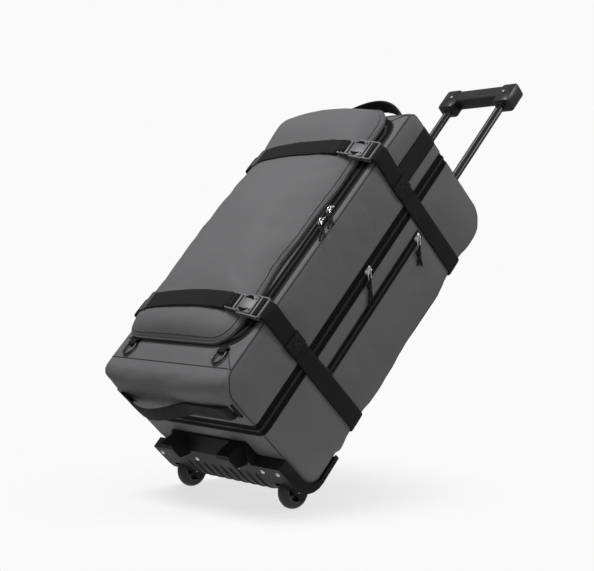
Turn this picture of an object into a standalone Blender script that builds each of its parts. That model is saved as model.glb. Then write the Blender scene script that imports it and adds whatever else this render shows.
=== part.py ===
"""Rolling duffel bag: sewn panels on a moulded wheel base, with a telescopic pull handle.

Metres, +Z along the bag's length, front lid towards -Y, wheels and pull handle towards +Y.
The origin is at the middle of the bounding box, on the ground under the upright bag.
"""

import math

import bmesh
import bpy
from mathutils import Matrix, Vector

# Driving dimensions
half_width = 0.179
front_y = -0.135
back_y = 0.1615
bottom_z = 0.0455
top_z = 0.732
bottom_front_radius = 0.034
top_front_radius = 0.022
top_back_radius = 0.042
bottom_back_radius = 0.030
rim_radius = 0.014
wall = 0.004
gap = 0.0003
bottom_seam_z = 0.081
top_seam_z = 0.7175
back_seam_z = 0.690

zip_y = -0.012
zip_width = 0.026
pocket_zip_y = 0.0415
pocket_zip_width = 0.015
pocket_zip_low_z = 0.228
pocket_zip_high_z = 0.570

lid_left = -0.170
lid_right = 0.135
lid_low = 0.126
lid_high = 0.716
lid_corner = 0.045
lid_base_y = -0.1365
lid_skirt = 0.006
lid_rise = ((0.012, 0.007), (0.014, 0.008), (0.014, 0.008))
lid_wall = 0.005
lid_hinge = Vector((-0.171, -0.1385, 0.0))
mouth_margin = 0.022

strap_width = 0.038
strap_thickness = 0.0022
strap_heights = {"upper": 0.5957, "lower": 0.2035}

base_outer_x = 0.183
base_bottom_z = 0.0215
base_back_y = 0.166
base_rim_y = 0.028
base_side_rim_y = 0.065
base_step_x = 0.108
base_top_z = 0.126
base_corner = 0.048
base_wall = 0.0035
flange_inner_y = 0.157

wheel_x = 0.147
wheel_y = 0.146
wheel_z = 0.0322
wheel_radius = 0.0322
wheel_width = 0.0226
tyre_inner_radius = 0.0222
axle_radius = 0.0030
well_radius = 0.0365
well_half_width = 0.0137
well_wall = 0.003

tube_x = 0.0738
tube_y = 0.1203
outer_tube = (0.0250, 0.0185)
inner_tube = (0.0205, 0.0145)
tube_wall = 0.0012
inner_tube_low = 0.440
grip_low = 1.0385
grip_high = 1.0960
grip_half = 0.0990
bar_radius = 0.0150

haul_width = 0.030
haul_y = {"top": -0.088, "bottom": -0.069}
haul_half = {"top": 0.118, "bottom": 0.150}
haul_rise = {"top": 0.072, "bottom": 0.026}
haul_clearance = 0.007

buckle_angle = math.radians(14)
buckle_width = 0.046
buckle_origin = Vector((0.1365, -0.1580, 0.0))

hang = Vector((0.0, 0.693, -0.721))
cord_lengths = {"main": 0.048, "pocket": 0.033, "lid_upper": 0.045, "lid_lower": 0.045}
cord_radius = 0.0017

palette = {
    "fabric": ((0.105, 0.106, 0.112), 0.55, 0.0),
    "webbing": ((0.012, 0.012, 0.013), 0.75, 0.0),
    "zipper": ((0.014, 0.014, 0.015), 0.6, 0.0),
    "plastic": ((0.022, 0.022, 0.025), 0.4, 0.0),
    "buckle": ((0.045, 0.045, 0.05), 0.35, 0.0),
    "tube": ((0.03, 0.03, 0.033), 0.3, 0.9),
    "tyre": ((0.016, 0.016, 0.017), 0.7, 0.0),
    "chrome": ((0.75, 0.75, 0.77), 0.15, 1.0),
}


def clear_scene():
    for obj in list(bpy.data.objects):
        bpy.data.objects.remove(obj)
    for mesh in list(bpy.data.meshes):
        bpy.data.meshes.remove(mesh)


def make_collection(name, hidden=False):
    collection = bpy.data.collections.new(name)
    bpy.context.scene.collection.children.link(collection)
    collection.hide_render = hidden
    return collection


def finish_of(name):
    found = bpy.data.materials.get(name)
    if found:
        return found
    colour, roughness, metallic = palette[name]
    made = bpy.data.materials.new(name)
    made.use_nodes = True
    shader = made.node_tree.nodes["Principled BSDF"]
    shader.inputs["Base Color"].default_value = (*colour, 1.0)
    shader.inputs["Roughness"].default_value = roughness
    shader.inputs["Metallic"].default_value = metallic
    return made


def add_part(name, data, finish, collection=None):
    obj = bpy.data.objects.new(name, data)
    (collection or parts).objects.link(obj)
    data.materials.append(finish_of(finish))
    return obj


def mesh_from(bm, name):
    bmesh.ops.recalc_face_normals(bm, faces=bm.faces)
    mesh = bpy.data.meshes.new(name)
    bm.to_mesh(mesh)
    bm.free()
    return mesh


def smooth(mesh, degrees=35):
    mesh.shade_smooth()
    mesh.set_sharp_from_angle(angle=math.radians(degrees))


def make_cutter(name, bm):
    obj = add_part(name, mesh_from(bm, name), "fabric", cutters)
    obj.hide_render = True
    obj.display_type = "WIRE"
    return obj


def combine(obj, cutter, operation="DIFFERENCE"):
    modifier = obj.modifiers.new(operation.title(), "BOOLEAN")
    modifier.operation = operation
    modifier.object = cutter


def thicken(obj, thickness, outward=False):
    modifier = obj.modifiers.new("Solidify", "SOLIDIFY")
    modifier.thickness = thickness
    modifier.offset = 1.0 if outward else -1.0
    modifier.use_even_offset = True


def box_bm(low, high, bevel=0.0, segments=2):
    """A box between two corners, with its edges rounded by bevel."""
    low, high = Vector(low), Vector(high)
    bm = bmesh.new()
    bmesh.ops.create_cube(bm, size=1.0)
    bmesh.ops.scale(bm, vec=high - low, verts=bm.verts)
    bmesh.ops.translate(bm, vec=(low + high) / 2, verts=bm.verts)
    if bevel:
        bmesh.ops.bevel(
            bm, geom=bm.edges[:], offset=bevel, segments=segments, profile=0.5, affect="EDGES"
        )
    return bm


def cylinder_bm(radius, start, end, sides=24):
    """A closed cylinder between two points."""
    start, end = Vector(start), Vector(end)
    bm = bmesh.new()
    bmesh.ops.create_cone(
        bm, cap_ends=True, segments=sides, radius1=radius, radius2=radius, depth=(end - start).length
    )
    turn = Vector((0, 0, 1)).rotation_difference(end - start).to_matrix()
    bmesh.ops.rotate(bm, matrix=turn, verts=bm.verts)
    bmesh.ops.translate(bm, vec=(start + end) / 2, verts=bm.verts)
    return bm


def join_bm(*sources):
    """One bmesh holding separate bodies, for use as a cutter."""
    joined = bmesh.new()
    for source in sources:
        mesh = bpy.data.meshes.new("joined")
        source.to_mesh(mesh)
        source.free()
        joined.from_mesh(mesh)
        bpy.data.meshes.remove(mesh)
    return joined


def arc(centre, radius, start, end, steps):
    """Points of an arc in a plane, angles in degrees."""
    turns = [math.radians(start + (end - start) * i / steps) for i in range(steps + 1)]
    return [(centre[0] + radius * math.cos(t), centre[1] + radius * math.sin(t)) for t in turns]


def rounded_rectangle(left, right, low, high, radius, steps=4):
    """Counter-clockwise outline from the right-hand low corner."""
    points = arc((right - radius, low + radius), radius, -90, 0, steps)
    points += arc((right - radius, high - radius), radius, 0, 90, steps)
    points += arc((left + radius, high - radius), radius, 90, 180, steps)
    points += arc((left + radius, low + radius), radius, 180, 270, steps)
    return points


def plate_bm(outline, place, depth_vector):
    """A flat outline set in space by place(a, b), pushed through depth_vector."""
    bm = bmesh.new()
    verts = [bm.verts.new(place(a, b)) for a, b in outline]
    face = bm.faces.new(verts)
    pushed = bmesh.ops.extrude_face_region(bm, geom=[face])
    moved = [v for v in pushed["geom"] if isinstance(v, bmesh.types.BMVert)]
    bmesh.ops.translate(bm, vec=depth_vector, verts=moved)
    return bm


def ribbon(name, path, across, thickness, finish):
    """A strap along a path. Its thickness is added on the side of (path direction) x (across)."""
    bm = bmesh.new()
    across = Vector(across)
    first = Vector(path[0])
    edge = bm.edges.new([bm.verts.new(first - across / 2), bm.verts.new(first + across / 2)])
    for here, there in zip(path, path[1:]):
        pushed = bmesh.ops.extrude_edge_only(bm, edges=[edge])["geom"]
        moved = [v for v in pushed if isinstance(v, bmesh.types.BMVert)]
        bmesh.ops.translate(bm, vec=Vector(there) - Vector(here), verts=moved)
        edge = bm.edges.get(moved)
    bm.faces.ensure_lookup_table()
    bm.normal_update()
    outward = (Vector(path[1]) - first).cross(across)
    if bm.faces[0].normal.dot(outward) < 0:
        bmesh.ops.reverse_faces(bm, faces=bm.faces)
    mesh = bpy.data.meshes.new(name)
    bm.to_mesh(mesh)
    bm.free()
    obj = add_part(name, mesh, finish)
    thicken(obj, thickness, outward=True)
    return obj


def tube_along(name, points, radius, finish, cyclic=False):
    curve = bpy.data.curves.new(name, "CURVE")
    curve.dimensions = "3D"
    curve.bevel_depth = radius
    curve.bevel_resolution = 2
    curve.use_fill_caps = True
    spline = curve.splines.new("POLY")
    spline.points.add(len(points) - 1)
    for point, place in zip(spline.points, points):
        point.co = (*place, 1.0)
    spline.use_cyclic_u = cyclic
    return add_part(name, curve, finish)


def turned(name, profile, centre, finish, steps=28):
    """A profile of (radius, offset) turned about the X axis through centre."""
    bm = bmesh.new()
    verts = [bm.verts.new((offset, radius, 0)) for radius, offset in profile]
    edges = [bm.edges.new(pair) for pair in zip(verts, verts[1:] + verts[:1])]
    bmesh.ops.spin(
        bm, geom=verts + edges, cent=(0, 0, 0), axis=(1, 0, 0), angle=math.tau, steps=steps, use_merge=True
    )
    mesh = mesh_from(bm, name)
    smooth(mesh)
    obj = add_part(name, mesh, finish)
    obj.location = centre
    return obj


# The bag's outer form


def side_outline(inset=0.0):
    """The bag seen from its side, as (y, z) points from the front-bottom corner."""
    corners = (
        ((front_y, bottom_z), bottom_front_radius, (1, 1), 180),
        ((back_y, bottom_z), bottom_back_radius, (-1, 1), 270),
        ((back_y, top_z), top_back_radius, (-1, -1), 0),
        ((front_y, top_z), top_front_radius, (1, -1), 90),
    )
    points = []
    for (y, z), radius, inward, start in corners:
        centre = (y + inward[0] * radius, z + inward[1] * radius)
        points += arc(centre, radius - inset, start, start + 90, 5)
    return points


def form_bm(inset=0.0):
    """The whole bag as one closed solid with its two side rims rounded, set in by inset."""
    half = half_width - inset
    bm = plate_bm(side_outline(inset), lambda y, z: (-half, y, z), (2 * half, 0, 0))
    rims = [e for e in bm.edges if abs(e.verts[0].co.x - e.verts[1].co.x) < 1e-6]
    bmesh.ops.bevel(
        bm, geom=rims, offset=rim_radius - inset, segments=3, profile=0.5, affect="EDGES"
    )
    return bm


def panel(name, *limits):
    """A sewn panel: the part of the bag's wall on the kept side of every limit.

    Each limit is an axis letter, a sign and a value: ("z", ">", 0.1) keeps what lies above 0.1.
    """
    low, high = Vector((-1, -1, -1)), Vector((1, 1, 1))
    for axis, sign, value in limits:
        index = "xyz".index(axis)
        if sign == ">":
            low[index] = value + gap / 2
        else:
            high[index] = value - gap / 2
    obj = add_part(name, mesh_from(form_bm(), name), "fabric")
    combine(obj, bpy.data.objects["inner_form"])
    combine(obj, make_cutter(name + "_region", box_bm(low, high)), "INTERSECT")
    return obj


def build_panels():
    make_cutter("inner_form", form_bm(wall))
    seam_x = half_width - rim_radius * (1 - math.cos(math.pi / 4))
    zip_front = zip_y - zip_width / 2
    zip_rear = zip_y + zip_width / 2
    middle = (("x", "<", seam_x), ("x", ">", -seam_x))
    for side, sign, value in (("right", ">", seam_x), ("left", "<", -seam_x)):
        panel(f"front_{side}_side_panel", ("x", sign, value), ("y", "<", zip_front))
        panel(f"rear_{side}_side_panel", ("x", sign, value), ("y", ">", zip_rear))
    frame = panel(
        "front_panel_frame", *middle, ("y", "<", 0), ("z", ">", bottom_seam_z), ("z", "<", top_seam_z)
    )
    mouth = rounded_rectangle(
        lid_left + mouth_margin,
        lid_right - mouth_margin,
        lid_low + mouth_margin,
        lid_high - mouth_margin,
        lid_corner - mouth_margin / 2,
    )
    combine(frame, make_cutter("mouth_cutter", plate_bm(mouth, lambda x, z: (x, -0.2, z), (0, 0.1, 0))))
    panel("front_bottom_panel", *middle, ("y", "<", zip_front), ("z", "<", bottom_seam_z))
    panel("front_top_panel", *middle, ("y", "<", zip_front), ("z", ">", top_seam_z))
    rim = base_side_rim_y - gap
    under = panel("rear_bottom_panel", *middle, ("y", ">", zip_rear), ("y", "<", rim), ("z", "<", bottom_seam_z))
    notch_x = base_step_x + 2 * gap
    notch = box_bm((-notch_x, base_rim_y - 2 * gap, 0), (notch_x, 0.1, 0.1))
    combine(under, make_cutter("base_notch_cutter", notch))
    panel("rear_top_panel", *middle, ("y", ">", zip_rear), ("z", ">", back_seam_z))
    back = panel("back_panel", *middle, ("y", ">", 0), ("z", "<", back_seam_z), ("z", ">", base_top_z + gap))
    tape = panel("main_zipper_tape", ("y", ">", zip_front), ("y", "<", zip_rear))
    tape.data.materials.clear()
    tape.data.materials.append(finish_of("zipper"))
    return back


def build_divider():
    inset = wall + 0.002
    outline = rounded_rectangle(
        -half_width + inset, half_width - inset, bottom_z + inset, top_z - inset, rim_radius
    )
    bm = plate_bm(outline, lambda x, z: (x, zip_y - 0.001, z), (0, 0.002, 0))
    add_part("divider_panel", mesh_from(bm, "divider_panel"), "fabric")


def build_tube_exits(top):
    """The tubes pass through the sewn top, so it is cut round them."""
    holes = [
        box_bm(
            (side * tube_x - outer_tube[0] / 2 - 0.001, tube_y - outer_tube[1] / 2 - 0.001, 0.6),
            (side * tube_x + outer_tube[0] / 2 + 0.001, tube_y + outer_tube[1] / 2 + 0.001, 0.8),
        )
        for side in (1, -1)
    ]
    combine(top, make_cutter("tube_exit_cutter", join_bm(*holes)))


# The base and its wheels


def base_profile(inset=0.0, open_by=0.0):
    """The base's side profile as (y, z): a floor, a round heel and a short back, all of one depth."""
    bottom = base_bottom_z + inset
    back = base_back_y - inset
    radius = base_corner - inset
    heel = arc((back - radius, bottom + radius), radius, -90, 0, 6)
    floor_top = bottom_z - 0.001 + open_by
    back_top = base_top_z + open_by
    inner_y = flange_inner_y - open_by
    points = [(base_rim_y + inset, floor_top), (base_rim_y + inset, floor_top - 0.004 - open_by)]
    points += [(0.055 + inset * 0.5, bottom)] + heel + [(back, back_top), (inner_y, back_top)]
    points += [(inner_y, bottom_z + 0.026 + open_by)]
    points += [(inner_y - 0.008, bottom_z + 0.010 + open_by), (inner_y - 0.024, floor_top)]
    return points


def build_base():
    outer = plate_bm(base_profile(), lambda y, z: (-base_outer_x, y, z), (2 * base_outer_x, 0, 0))
    base = add_part("base_shell", mesh_from(outer, "base_shell"), "plastic")
    wide = 0.05
    step = [
        box_bm((side * (base_step_x + wide) - wide, 0.0, 0.0), (side * (base_step_x + wide) + wide, base_side_rim_y, 0.06))
        for side in (1, -1)
    ]
    combine(base, make_cutter("base_step_cutter", join_bm(*step)))
    inner_x = half_width + gap
    hollow = plate_bm(
        base_profile(base_wall, 0.03), lambda y, z: (-inner_x, y, z), (2 * inner_x, 0, 0)
    )
    hollow_obj = make_cutter("base_hollow_cutter", hollow)
    wall_step = [
        box_bm(
            (side * (base_step_x + wide) - wide - base_wall, 0.0, 0.0),
            (side * (base_step_x + wide) + wide + 0.03, base_side_rim_y + base_wall, 0.1),
        )
        for side in (1, -1)
    ]
    combine(hollow_obj, make_cutter("hollow_step_cutter", join_bm(*wall_step)))
    combine(base, hollow_obj)
    housing_x = well_half_width + well_wall
    for side, label in ((1, "right"), (-1, "left")):
        centre = side * wheel_x
        housing = cylinder_bm(
            well_radius + well_wall, (centre - housing_x, wheel_y, wheel_z), (centre + housing_x, wheel_y, wheel_z), 32
        )
        keep = make_cutter(
            f"{label}_housing_limit",
            box_bm((centre - 0.05, 0.08, base_bottom_z + 0.001), (centre + 0.05, base_back_y - 0.001, 0.12)),
        )
        housing_obj = make_cutter(f"{label}_housing", housing)
        combine(housing_obj, keep, "INTERSECT")
        combine(base, housing_obj, "UNION")
        boss = cylinder_bm(
            0.008, (centre - housing_x, wheel_y, wheel_z), (centre + housing_x, wheel_y, wheel_z), 16
        )
        combine(base, make_cutter(f"{label}_boss", boss), "UNION")
        well = cylinder_bm(
            well_radius,
            (centre - well_half_width, wheel_y, wheel_z),
            (centre + well_half_width, wheel_y, wheel_z),
            32,
        )
        combine(base, make_cutter(f"{label}_well", well))
        bore = cylinder_bm(
            axle_radius + gap, (centre - 0.03, wheel_y, wheel_z), (centre + housing_x + 0.0002, wheel_y, wheel_z), 16
        )
        combine(base, make_cutter(f"{label}_axle_bore", bore))
        pod = [(0.028, 0.040), (0.020, 0.004), (0.026, 0.0), (0.050, 0.0), (0.066, 0.024), (0.05, 0.032)]
        inner = min(side * 0.064, side * 0.100)
        foot = plate_bm(pod, lambda y, z, at=inner: (at, y, z), (0.036, 0, 0))
        combine(base, make_cutter(f"{label}_foot", foot), "UNION")


def build_wheels():
    half = wheel_width / 2
    tyre = [
        (tyre_inner_radius, -half),
        (wheel_radius - 0.004, -half),
        (wheel_radius, -half + 0.005),
        (wheel_radius, half - 0.005),
        (wheel_radius - 0.004, half),
        (tyre_inner_radius, half),
    ]
    outer = tyre_inner_radius - gap
    bore = axle_radius + 0.0004
    hub = [
        (bore, -half + 0.001),
        (0.008, -half + 0.001),
        (0.008, -0.003),
        (outer - 0.004, -0.003),
        (outer - 0.003, -half + 0.001),
        (outer, -half + 0.001),
        (outer, half - 0.001),
        (outer - 0.003, half - 0.001),
        (outer - 0.004, 0.003),
        (0.008, 0.003),
        (0.008, half - 0.001),
        (bore, half - 0.001),
    ]
    for side, label in ((1, "right"), (-1, "left")):
        centre = Vector((side * wheel_x, wheel_y, wheel_z))
        turned(f"wheel_tyre_{label}", tyre, centre, "tyre", 32)
        disc = turned(f"wheel_hub_{label}", hub, centre, "plastic", 24)
        windows = []
        for i in range(5):
            angle = math.tau * i / 5
            direction = Vector((0, math.cos(angle), math.sin(angle)))
            at = centre + direction * 0.0133
            windows.append(cylinder_bm(0.0032, at - Vector((0.01, 0, 0)), at + Vector((0.01, 0, 0)), 8))
        combine(disc, make_cutter(f"{label}_hub_windows", join_bm(*windows)))
        reach = Vector((well_half_width + 0.0028, 0, 0))
        pin = cylinder_bm(axle_radius, centre - reach, centre + reach, 16)
        mesh = mesh_from(pin, f"axle_{label}")
        smooth(mesh)
        add_part(f"axle_{label}", mesh, "chrome")


# The pull handle


def oval(width, depth, steps=5):
    return rounded_rectangle(-width / 2, width / 2, -depth / 2, depth / 2, depth / 2 * 0.92, steps)


def hollow_tube(name, size, inner_size, x, low, high, finish):
    place = lambda a, b: (x + a, tube_y + b, low)
    bm = plate_bm(oval(*size), place, (0, 0, high - low))
    obj = add_part(name, mesh_from(bm, name), finish)
    bore_place = lambda a, b: (x + a, tube_y + b, low - 0.01)
    bore = plate_bm(oval(*inner_size), bore_place, (0, 0, high - low + 0.02))
    combine(obj, make_cutter(name + "_bore", bore))
    return obj


def build_pull_handle():
    for side, label in ((1, "right"), (-1, "left")):
        x = side * tube_x
        bore = (outer_tube[0] - 2 * tube_wall, outer_tube[1] - 2 * tube_wall)
        hollow_tube(f"outer_tube_{label}", outer_tube, bore, x, 0.080, top_z + 0.0015, "tube")
        bore = (inner_tube[0] - 2 * tube_wall, inner_tube[1] - 2 * tube_wall)
        hollow_tube(f"inner_tube_{label}", inner_tube, bore, x, inner_tube_low, grip_low + 0.020, "tube")
    bar_z = (grip_low + grip_high) / 2 + 0.006
    bar = cylinder_bm(bar_radius, (-tube_x, tube_y, bar_z), (tube_x, tube_y, bar_z), 20)
    grip = add_part("pull_grip", mesh_from(bar, "pull_grip"), "plastic")
    for side, label in ((1, "right"), (-1, "left")):
        inner, outer = sorted((side * 0.058, side * grip_half))
        socket = box_bm((inner, tube_y - 0.018, grip_low), (outer, tube_y + 0.018, grip_high), 0.006, 2)
        combine(grip, make_cutter(f"{label}_grip_socket", socket), "UNION")
        place = lambda a, b, at=side * tube_x: (at + a, tube_y + b, grip_low - 0.01)
        clearance = 2 * gap
        seat = plate_bm(
            oval(inner_tube[0] + clearance, inner_tube[1] + clearance), place, (0, 0, 0.031)
        )
        combine(grip, make_cutter(f"{label}_grip_seat", seat))
        screw_at = Vector((side * tube_x, tube_y - 0.018, 1.070))
        head = cylinder_bm(0.0035, screw_at - Vector((0, 0.0012, 0)), screw_at + Vector((0, -gap, 0)), 12)
        add_part(f"grip_screw_{label}", mesh_from(head, f"grip_screw_{label}"), "chrome")
    recess = box_bm((-0.0205, tube_y - 0.0075, bar_z + 0.004), (0.0205, tube_y + 0.0075, grip_high + 0.02))
    combine(grip, make_cutter("button_recess", recess))
    button = box_bm(
        (-0.0195, tube_y - 0.0065, bar_z + 0.0085), (0.0195, tube_y + 0.0065, bar_z + bar_radius + 0.003), 0.0015, 2
    )
    add_part("release_button", mesh_from(button, "release_button"), "buckle")


# The lid, its zipper and straps


def lid_height(inset):
    """How far the lid stands out at a distance in from its edge."""
    height = lid_skirt
    for width, rise in lid_rise:
        height += rise * min(max(inset / width, 0.0), 1.0)
        inset -= width
    return height


def build_lid():
    bm = bmesh.new()
    outline = rounded_rectangle(lid_left, lid_right, lid_low, lid_high, lid_corner, 5)
    face = bm.faces.new([bm.verts.new((x, lid_base_y, z)) for x, z in outline])
    face.normal_update()
    if face.normal.y > 0:
        face.normal_flip()
    for width, rise in ((0.0, lid_skirt), *lid_rise):
        bmesh.ops.inset_individual(
            bm, faces=[face], thickness=width, depth=rise, use_even_offset=True
        )
    mesh = bpy.data.meshes.new("lid_panel")
    bm.to_mesh(mesh)
    bm.free()
    smooth(mesh)
    lid = add_part("lid_panel", mesh, "fabric")
    thicken(lid, lid_wall)


def build_lid_zipper():
    """The tape sewn round three sides of the mouth, under the lid's edge."""
    left = lid_left + 0.004
    outline = rounded_rectangle(
        left, lid_right + 0.022, lid_low + 0.004, lid_high - 0.012, lid_corner + 0.004, 5
    )
    bm = plate_bm(outline, lambda x, z: (x, front_y - gap, z), (0, -0.0008, 0))
    tape = add_part("lid_zipper_tape", mesh_from(bm, "lid_zipper_tape"), "zipper")
    inner = rounded_rectangle(
        left - 0.05, lid_right + 0.002, lid_low + 0.022, lid_high - 0.030, lid_corner - 0.012, 5
    )
    hole = plate_bm(inner, lambda x, z: (x, -0.2, z), (0, 0.1, 0))
    combine(tape, make_cutter("lid_zipper_inner", hole))


def build_side_strap(label, height):
    """The strap from the buckle round the right side, the back and the left side."""
    out = half_width + gap
    rear = back_y + gap
    radius = rim_radius + gap
    right = [(0.1805, -0.1415), (0.1822, -0.1375), (0.1822, -0.131), (0.1808, -0.118), (out + 0.0005, -0.100)]
    path = [(x, y, height) for x, y in right]
    path += [(out, -0.08, height)]
    path += [(x, y, height) for x, y in arc((out - radius, rear - radius), radius, 0, 90, 4)]
    path += [(x, y, height) for x, y in arc((-out + radius, rear - radius), radius, 90, 180, 4)]
    path += [(-out, -0.118, height)]
    ribbon(f"{label}_side_strap", path, (0, 0, strap_width), strap_thickness, "webbing")


def build_lid_strap(label, height):
    """The strap over the lid, from the hinge edge to the buckle's tongue."""
    edge = min(height - lid_low, lid_high - height) + strap_width / 2
    path = []
    for x in (lid_left + 0.0015, -0.160, -0.145, -0.130, -0.105, -0.09, 0.0, 0.055):
        rise = min(lid_height(min(x - lid_left, lid_right - x)), lid_height(edge))
        path.append((x, lid_base_y - rise - 0.0012, height))
    path += [(0.080, -0.1672, height), (0.0985, -0.1668, height)]
    ribbon(f"{label}_lid_strap", path, (0, 0, strap_width), strap_thickness, "webbing")


def buckle_place(height):
    turn = Matrix.Rotation(buckle_angle, 4, "Z")
    return Matrix.Translation(buckle_origin + Vector((0, 0, height))) @ turn


def build_buckle(label, height):
    """A socket that is open to the front, and a tongue that lies in it and lifts out."""
    half = buckle_width / 2
    socket = add_part(
        f"{label}_buckle_socket",
        mesh_from(box_bm((-0.006, -0.0045, -half), (0.043, 0.0045, half), 0.0015, 2), "socket"),
        "buckle",
    )
    pocket = box_bm((-0.02, -0.02, -half + 0.0035), (0.024, 0.0020, half - 0.0035))
    slot = box_bm((0.031, -0.02, -half + 0.0035), (0.038, 0.02, half - 0.0035))
    pocket_obj = make_cutter(f"{label}_socket_pocket", join_bm(pocket, slot))
    tongue_half = half - 0.0042
    tongue = add_part(
        f"{label}_buckle_tongue",
        mesh_from(box_bm((-0.036, -0.0050, -tongue_half), (0.022, 0.0014, tongue_half), 0.0012, 2), "tongue"),
        "buckle",
    )
    cuts = [
        box_bm((-0.031, -0.02, -tongue_half + 0.003), (-0.026, 0.02, tongue_half - 0.003)),
        box_bm((-0.021, -0.02, -tongue_half + 0.003), (-0.016, 0.02, tongue_half - 0.003)),
        box_bm((-0.003, -0.02, 0.005), (0.030, 0.02, 0.0125)),
        box_bm((-0.003, -0.02, -0.0125), (0.030, 0.02, -0.005)),
    ]
    tongue_cut = make_cutter(f"{label}_tongue_cuts", join_bm(*cuts))
    for obj in (socket, pocket_obj, tongue, tongue_cut):
        obj.matrix_world = buckle_place(height)
    combine(socket, pocket_obj)
    combine(tongue, tongue_cut)


def build_adjuster(label, height):
    """The flat three-bar slider on the strap near the lid's hinge edge."""
    x = -0.128
    rise = lid_height(x - lid_left)
    y = lid_base_y - rise - strap_thickness - 0.0022
    half = strap_width / 2 + 0.004
    bm = box_bm((x - 0.010, y - 0.0032, height - half), (x + 0.010, y, height + half), 0.001, 1)
    turn = Matrix.Rotation(math.atan2(0.010, 0.030), 4, "Z")
    about = Vector((x, y, 0))
    bmesh.ops.rotate(bm, cent=about, matrix=turn.to_3x3().inverted(), verts=bm.verts)
    bmesh.ops.translate(bm, vec=(0, -0.0006, 0), verts=bm.verts)
    adjuster = add_part(f"{label}_strap_adjuster", mesh_from(bm, "adjuster"), "buckle")
    holes = [
        box_bm((x + side * 0.0045 - 0.0025, y - 0.02, height - half + 0.004), (x + side * 0.0045 + 0.0025, y + 0.02, height + half - 0.004))
        for side in (1, -1)
    ]
    combine(adjuster, make_cutter(f"{label}_adjuster_holes", join_bm(*holes)))


# Carrying hardware


def build_d_rings():
    for side, label in ((1, "right"), (-1, "left")):
        x = side * 0.132
        bar_z = 0.1135
        y = front_y - 0.0042
        ring = [(x - 0.012, y, bar_z), (x + 0.012, y, bar_z)]
        ring += [(x + a, y, bar_z - b) for a, b in arc((0, 0.014), 0.0132, 0, 180, 9)]
        tube_along(f"d_ring_{label}", ring, 0.0018, "plastic", cyclic=True)
        top = bar_z + 0.0075
        loop = [(x, y + 0.0024, top), (x, y + 0.0024, bar_z), (x, y + 0.0021, bar_z - 0.0012)]
        loop += [(x, y + a, bar_z - b) for a, b in arc((0, 0), 0.0024, 30, 180, 5)]
        loop += [(x, y - 0.0024, bar_z + 0.002), (x, y - 0.0004, top)]
        ribbon(f"d_ring_tab_{label}", loop, (-0.018, 0, 0), 0.0010, "webbing")


def haul_path(which):
    """The raised loop, run so that its outer face is the one away from the bag."""
    half = haul_half[which]
    away = 1 if which == "top" else -1
    surface = top_z if which == "top" else bottom_z
    base = surface + away * haul_clearance
    steps = 14
    points = []
    for i in range(steps + 1):
        share = i / steps
        x = away * half * (2 * share - 1)
        lift = haul_rise[which] * math.sin(math.pi * share) ** 0.8
        points.append((x, haul_y[which], base + away * lift))
    return points


def build_haul_handles():
    for which in haul_half:
        ribbon(f"{which}_haul_handle", haul_path(which), (0, haul_width, 0), 0.004, "webbing")


# Zip sliders, their wire pulls and their cords


def place_slider(label, at, normal, down, along):
    """A slider body sitting on a tape, a wire pull hanging from it and a knotted cord on the pull.

    normal points off the surface, along is the tape's direction, and down is where the pull hangs.
    """
    normal, down, along = Vector(normal), Vector(down).normalized(), Vector(along)
    across = normal.cross(along)
    frame = Matrix((across, along, normal)).transposed().to_4x4()
    body = box_bm((-0.0042, -0.0060, 0.0), (0.0042, 0.0060, 0.0030), 0.0010, 2)
    slider = add_part(f"{label}_slider", mesh_from(body, "slider"), "chrome")
    slider.matrix_world = Matrix.Translation(at) @ frame
    pivot = Vector(at) + normal * 0.0046
    side = normal.cross(down)
    loop = [pivot - side * 0.0020 - down * 0.0010, pivot + side * 0.0020 - down * 0.0010]
    loop += [pivot + side * 0.0034 + down * 0.004, pivot + side * 0.0034 + down * 0.014]
    loop += [pivot + side * 0.0015 + down * 0.0168, pivot - side * 0.0015 + down * 0.0168]
    loop += [pivot - side * 0.0034 + down * 0.014, pivot - side * 0.0034 + down * 0.004]
    tube_along(f"{label}_pull", loop, 0.0009, "chrome", cyclic=True)
    start = pivot + down * 0.0195
    steps = 12
    cord = [start + down * cord_lengths[label] * i / steps for i in range(steps + 1)]
    tube_along(f"{label}_pull_cord", cord, cord_radius, "webbing")


def build_sliders():
    lid_track = lid_right + 0.012
    off_front = (0, -1, 0)
    lid_down = (0.58, 0.0, -0.81)
    surface = front_y - 0.0014
    place_slider("lid_upper", Vector((lid_track, surface, 0.458)), off_front, lid_down, (0, 0, 1))
    place_slider("lid_lower", Vector((lid_track, surface, 0.428)), off_front, lid_down, (0, 0, 1))
    side_x = half_width + gap
    place_slider("main", Vector((side_x, zip_y, 0.423)), (1, 0, 0), hang, (0, 0, 1))
    place_slider("pocket", Vector((side_x + 0.0010, pocket_zip_y, 0.560)), (1, 0, 0), hang, (0, 0, 1))


def build_pocket_zipper():
    low, high = pocket_zip_low_z, pocket_zip_high_z
    half = pocket_zip_width / 2
    bm = box_bm((half_width + gap, pocket_zip_y - half, low), (half_width + gap + 0.0007, pocket_zip_y + half, high))
    add_part("pocket_zipper_tape", mesh_from(bm, "pocket_zipper_tape"), "zipper")


clear_scene()
parts = make_collection("rolling_duffel")
cutters = make_collection("cutters", hidden=True)
build_panels()
build_divider()
build_tube_exits(bpy.data.objects["rear_top_panel"])
build_base()
build_wheels()
build_pull_handle()
build_lid()
build_lid_zipper()
build_pocket_zipper()
for label, height in strap_heights.items():
    build_side_strap(label, height)
    build_lid_strap(label, height)
    build_buckle(label, height)
    build_adjuster(label, height)
build_d_rings()
build_haul_handles()
build_sliders()
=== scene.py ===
import math

import bmesh
import bpy
from mathutils import Matrix, Vector, noise
from mathutils.bvhtree import BVHTree


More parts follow.
